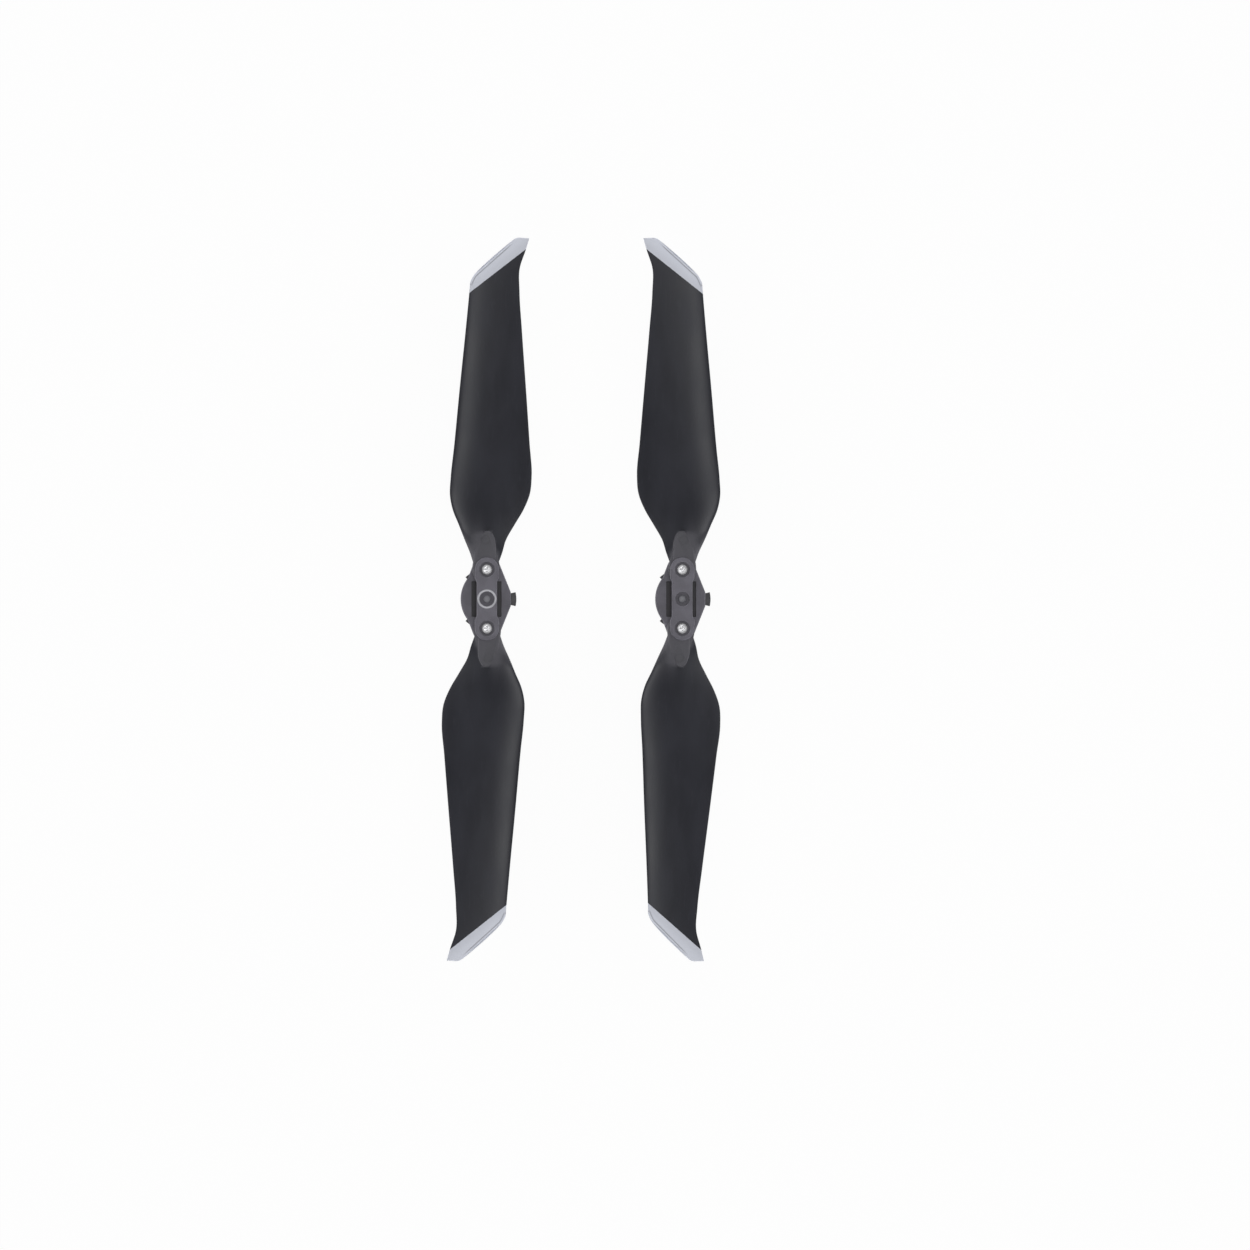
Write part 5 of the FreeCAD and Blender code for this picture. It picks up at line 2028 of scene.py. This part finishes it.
    def note_places(self, mesh: bpy.types.Mesh) -> None:
        """Keeps on each point what the finish needs: its place, the paint's reach, the groove's painted shade
        and the root.

        Args:
            mesh: The blade's mesh, about its pivot.
        """
        spots = np.array([vertex.co for vertex in mesh.vertices], float).reshape(-1, 3)
        x, y, z = spots[:, 0], spots[:, 1], spots[:, 2]
        start = np.array(self.paint_from) - (0, self.pivot)
        leg = np.array(self.paint_to) - np.array(self.paint_from)
        leg = leg / np.linalg.norm(leg)
        notes = {
            "silver_reach": leg[0] * (y - start[1]) - leg[1] * (x - start[0]),
            # The groove's mask, which carries its painted shade.
            "painted_groove_shade": self.groove(self.tip_gap(x, y), self.share_across(x, y)),
            "root_share": self.root_tone(x, y, z),
        }
        for name, values in notes.items():
            kept = mesh.attributes.new(name, "FLOAT", "POINT")
            kept.data.foreach_set("value", values.astype(np.float32))
        kept = mesh.attributes.new("blade_place", "FLOAT_VECTOR", "POINT")
        kept.data.foreach_set("vector", spots.astype(np.float32).ravel())


@dataclass
class Blades:
    """All four blades: one model, copied to the other pivot and mirrored for the other propeller.

    Attributes:
        places: Where the two propellers stand.
        finishes: The shared materials.
        swings: How far each blade swings from straight out, in degrees.
        play: Gap between a root and the base, and between it and the bar.
    """

    places: Sequence[Place]
    finishes: Finishes
    swings: dict[tuple[Hand, Side], float] = field(default_factory=lambda: {
        (Hand.COUNTER, Side.A): -0.3,
        (Hand.COUNTER, Side.B): 0.2,
        (Hand.CLOCKWISE, Side.A): -0.5,
        (Hand.CLOCKWISE, Side.B): -3.15,
    })
    play: float = 0.3 * MM

    def build(self) -> None:
        """Models one blade and sets its copies on their pivots."""
        first = self.places[0]
        model = BladeForm(first.pivot, first.base_high + self.play, first.bar_low - self.play).build()
        for place in self.places:
            mirrored = Matrix.Scale(-1 if place.hand is Hand.CLOCKWISE else 1, 4, (1, 0, 0))
            for side in Side:
                facing = (0.0 if side is Side.A else 180.0) + self.swings[place.hand, side]
                turned = Matrix.Rotation(math.radians(facing), 4, "Z")
                spot = Matrix.Translation((*place.pivot_at(side), 0)) @ turned @ mirrored
                blade = copy_piece(model, place.node(f"swept_blade_{side.value}"), spot)
                dress(blade, self.finishes.blade)
                seat(blade, place.blade_body(side), place.node(f"blade_{side.value}"))
        bpy.data.objects.remove(model)


# ---------------------------------------------------------------- the studio


@dataclass
class Studio:
    """A white table under one big soft box in a pale room, and the camera above it.

    Attributes:
        table_side, table_level: Side of the table top, and its level, just under the pair.
        box_side, box_level: Side and height of the soft box.
        box_power: Its power in watts.
        room_low, room_mid: How bright the room is near the table and higher up.
        room_stops: Where it starts to get darker and where it stops, 1 being straight overhead.
        aim: What the camera looks at.
        camera_reach: Distance from the aim to the camera.
        camera_lean: How far the camera leans to the left, in degrees.
        lens, sensor: Focal length, and width of the sensor, in millimetres.
    """

    table_side: float = 6.0
    table_level: float = -0.15 * MM
    box_side: float = 0.50
    box_level: float = 1.75
    box_power: float = 8.0
    room_low: float = 2.2
    room_mid: float = 0.26
    room_stops: Point2 = (0.26, 0.50)
    aim: tuple[float, float, float] = (12.58 * MM, -7.55 * MM, 10.0 * MM)
    camera_reach: float = 1.361
    camera_lean: float = 3.0
    lens: float = 135.0
    sensor: float = 36.0

    def table(self) -> None:
        """Lays the table top."""
        clear_selection()
        bpy.ops.mesh.primitive_grid_add(
            x_subdivisions=8, y_subdivisions=8, size=self.table_side, location=(0, 0, self.table_level))
        top = bpy.context.object
        top.name = "table"
        settle(top)
        dress(top, TablePaper("table_white").make())

    def room(self) -> None:
        """Sets the room's own light: bright near the table and darker higher up."""
        world = bpy.data.worlds.new("room")
        world.use_nodes = True
        bpy.context.scene.world = world
        tree = world.node_tree
        place = tree.nodes.new("ShaderNodeTexCoord")
        parts = tree.nodes.new("ShaderNodeSeparateXYZ")
        ramp = tree.nodes.new("ShaderNodeValToRGB")
        ramp.color_ramp.interpolation = "EASE"
        stops = zip(self.room_stops, (self.room_low, self.room_mid), ramp.color_ramp.elements)
        for spot, level, element in stops:
            element.position = spot
            element.color = (level, level, level, 1)
        tree.links.new(place.outputs["Generated"], parts.inputs[0])
        tree.links.new(parts.outputs["Z"], ramp.inputs[0])
        tree.links.new(ramp.outputs[0], tree.nodes["Background"].inputs["Color"])

    def soft_box(self) -> None:
        """Hangs one big square soft box straight overhead."""
        lamp = bpy.data.lights.new("soft_box", "AREA")
        lamp.shape = "SQUARE"
        lamp.size = self.box_side
        lamp.energy = self.box_power
        holder = bpy.data.objects.new("soft_box", lamp)
        holder.location = (0, 0, self.box_level)
        bpy.context.scene.collection.objects.link(holder)

    def camera(self) -> None:
        """Sets the camera above the table, leaning a little to the left."""
        lens = bpy.data.cameras.new("camera")
        lens.lens = self.lens
        lens.sensor_width = self.sensor
        lens.clip_start, lens.clip_end = 0.05, 20
        holder = bpy.data.objects.new("camera", lens)
        lean = math.radians(self.camera_lean)
        back = Vector((-math.sin(lean), 0, math.cos(lean)))
        holder.location = Vector(self.aim) + back * self.camera_reach
        right = Vector((math.cos(lean), 0, math.sin(lean)))
        turn = Matrix((right, (0, 1, 0), back)).transposed()
        holder.rotation_euler = turn.to_euler()
        bpy.context.scene.collection.objects.link(holder)
        bpy.context.scene.camera = holder

    def build(self) -> None:
        """Sets up the table, the light and the camera."""
        bpy.context.scene.view_settings.view_transform = "Standard"
        self.table()
        self.room()
        self.soft_box()
        self.camera()


def main() -> None:
    """Builds the studio, both hubs and the four blades."""
    logging.basicConfig(level=logging.INFO, format="%(message)s")
    clear_selection()
    Studio().build()
    places = [Place.of(hand) for hand in Hand]
    finishes = Finishes()
    Hubs(places, finishes).build()
    Blades(places, finishes).build()


if __name__ == "__main__":
    main()
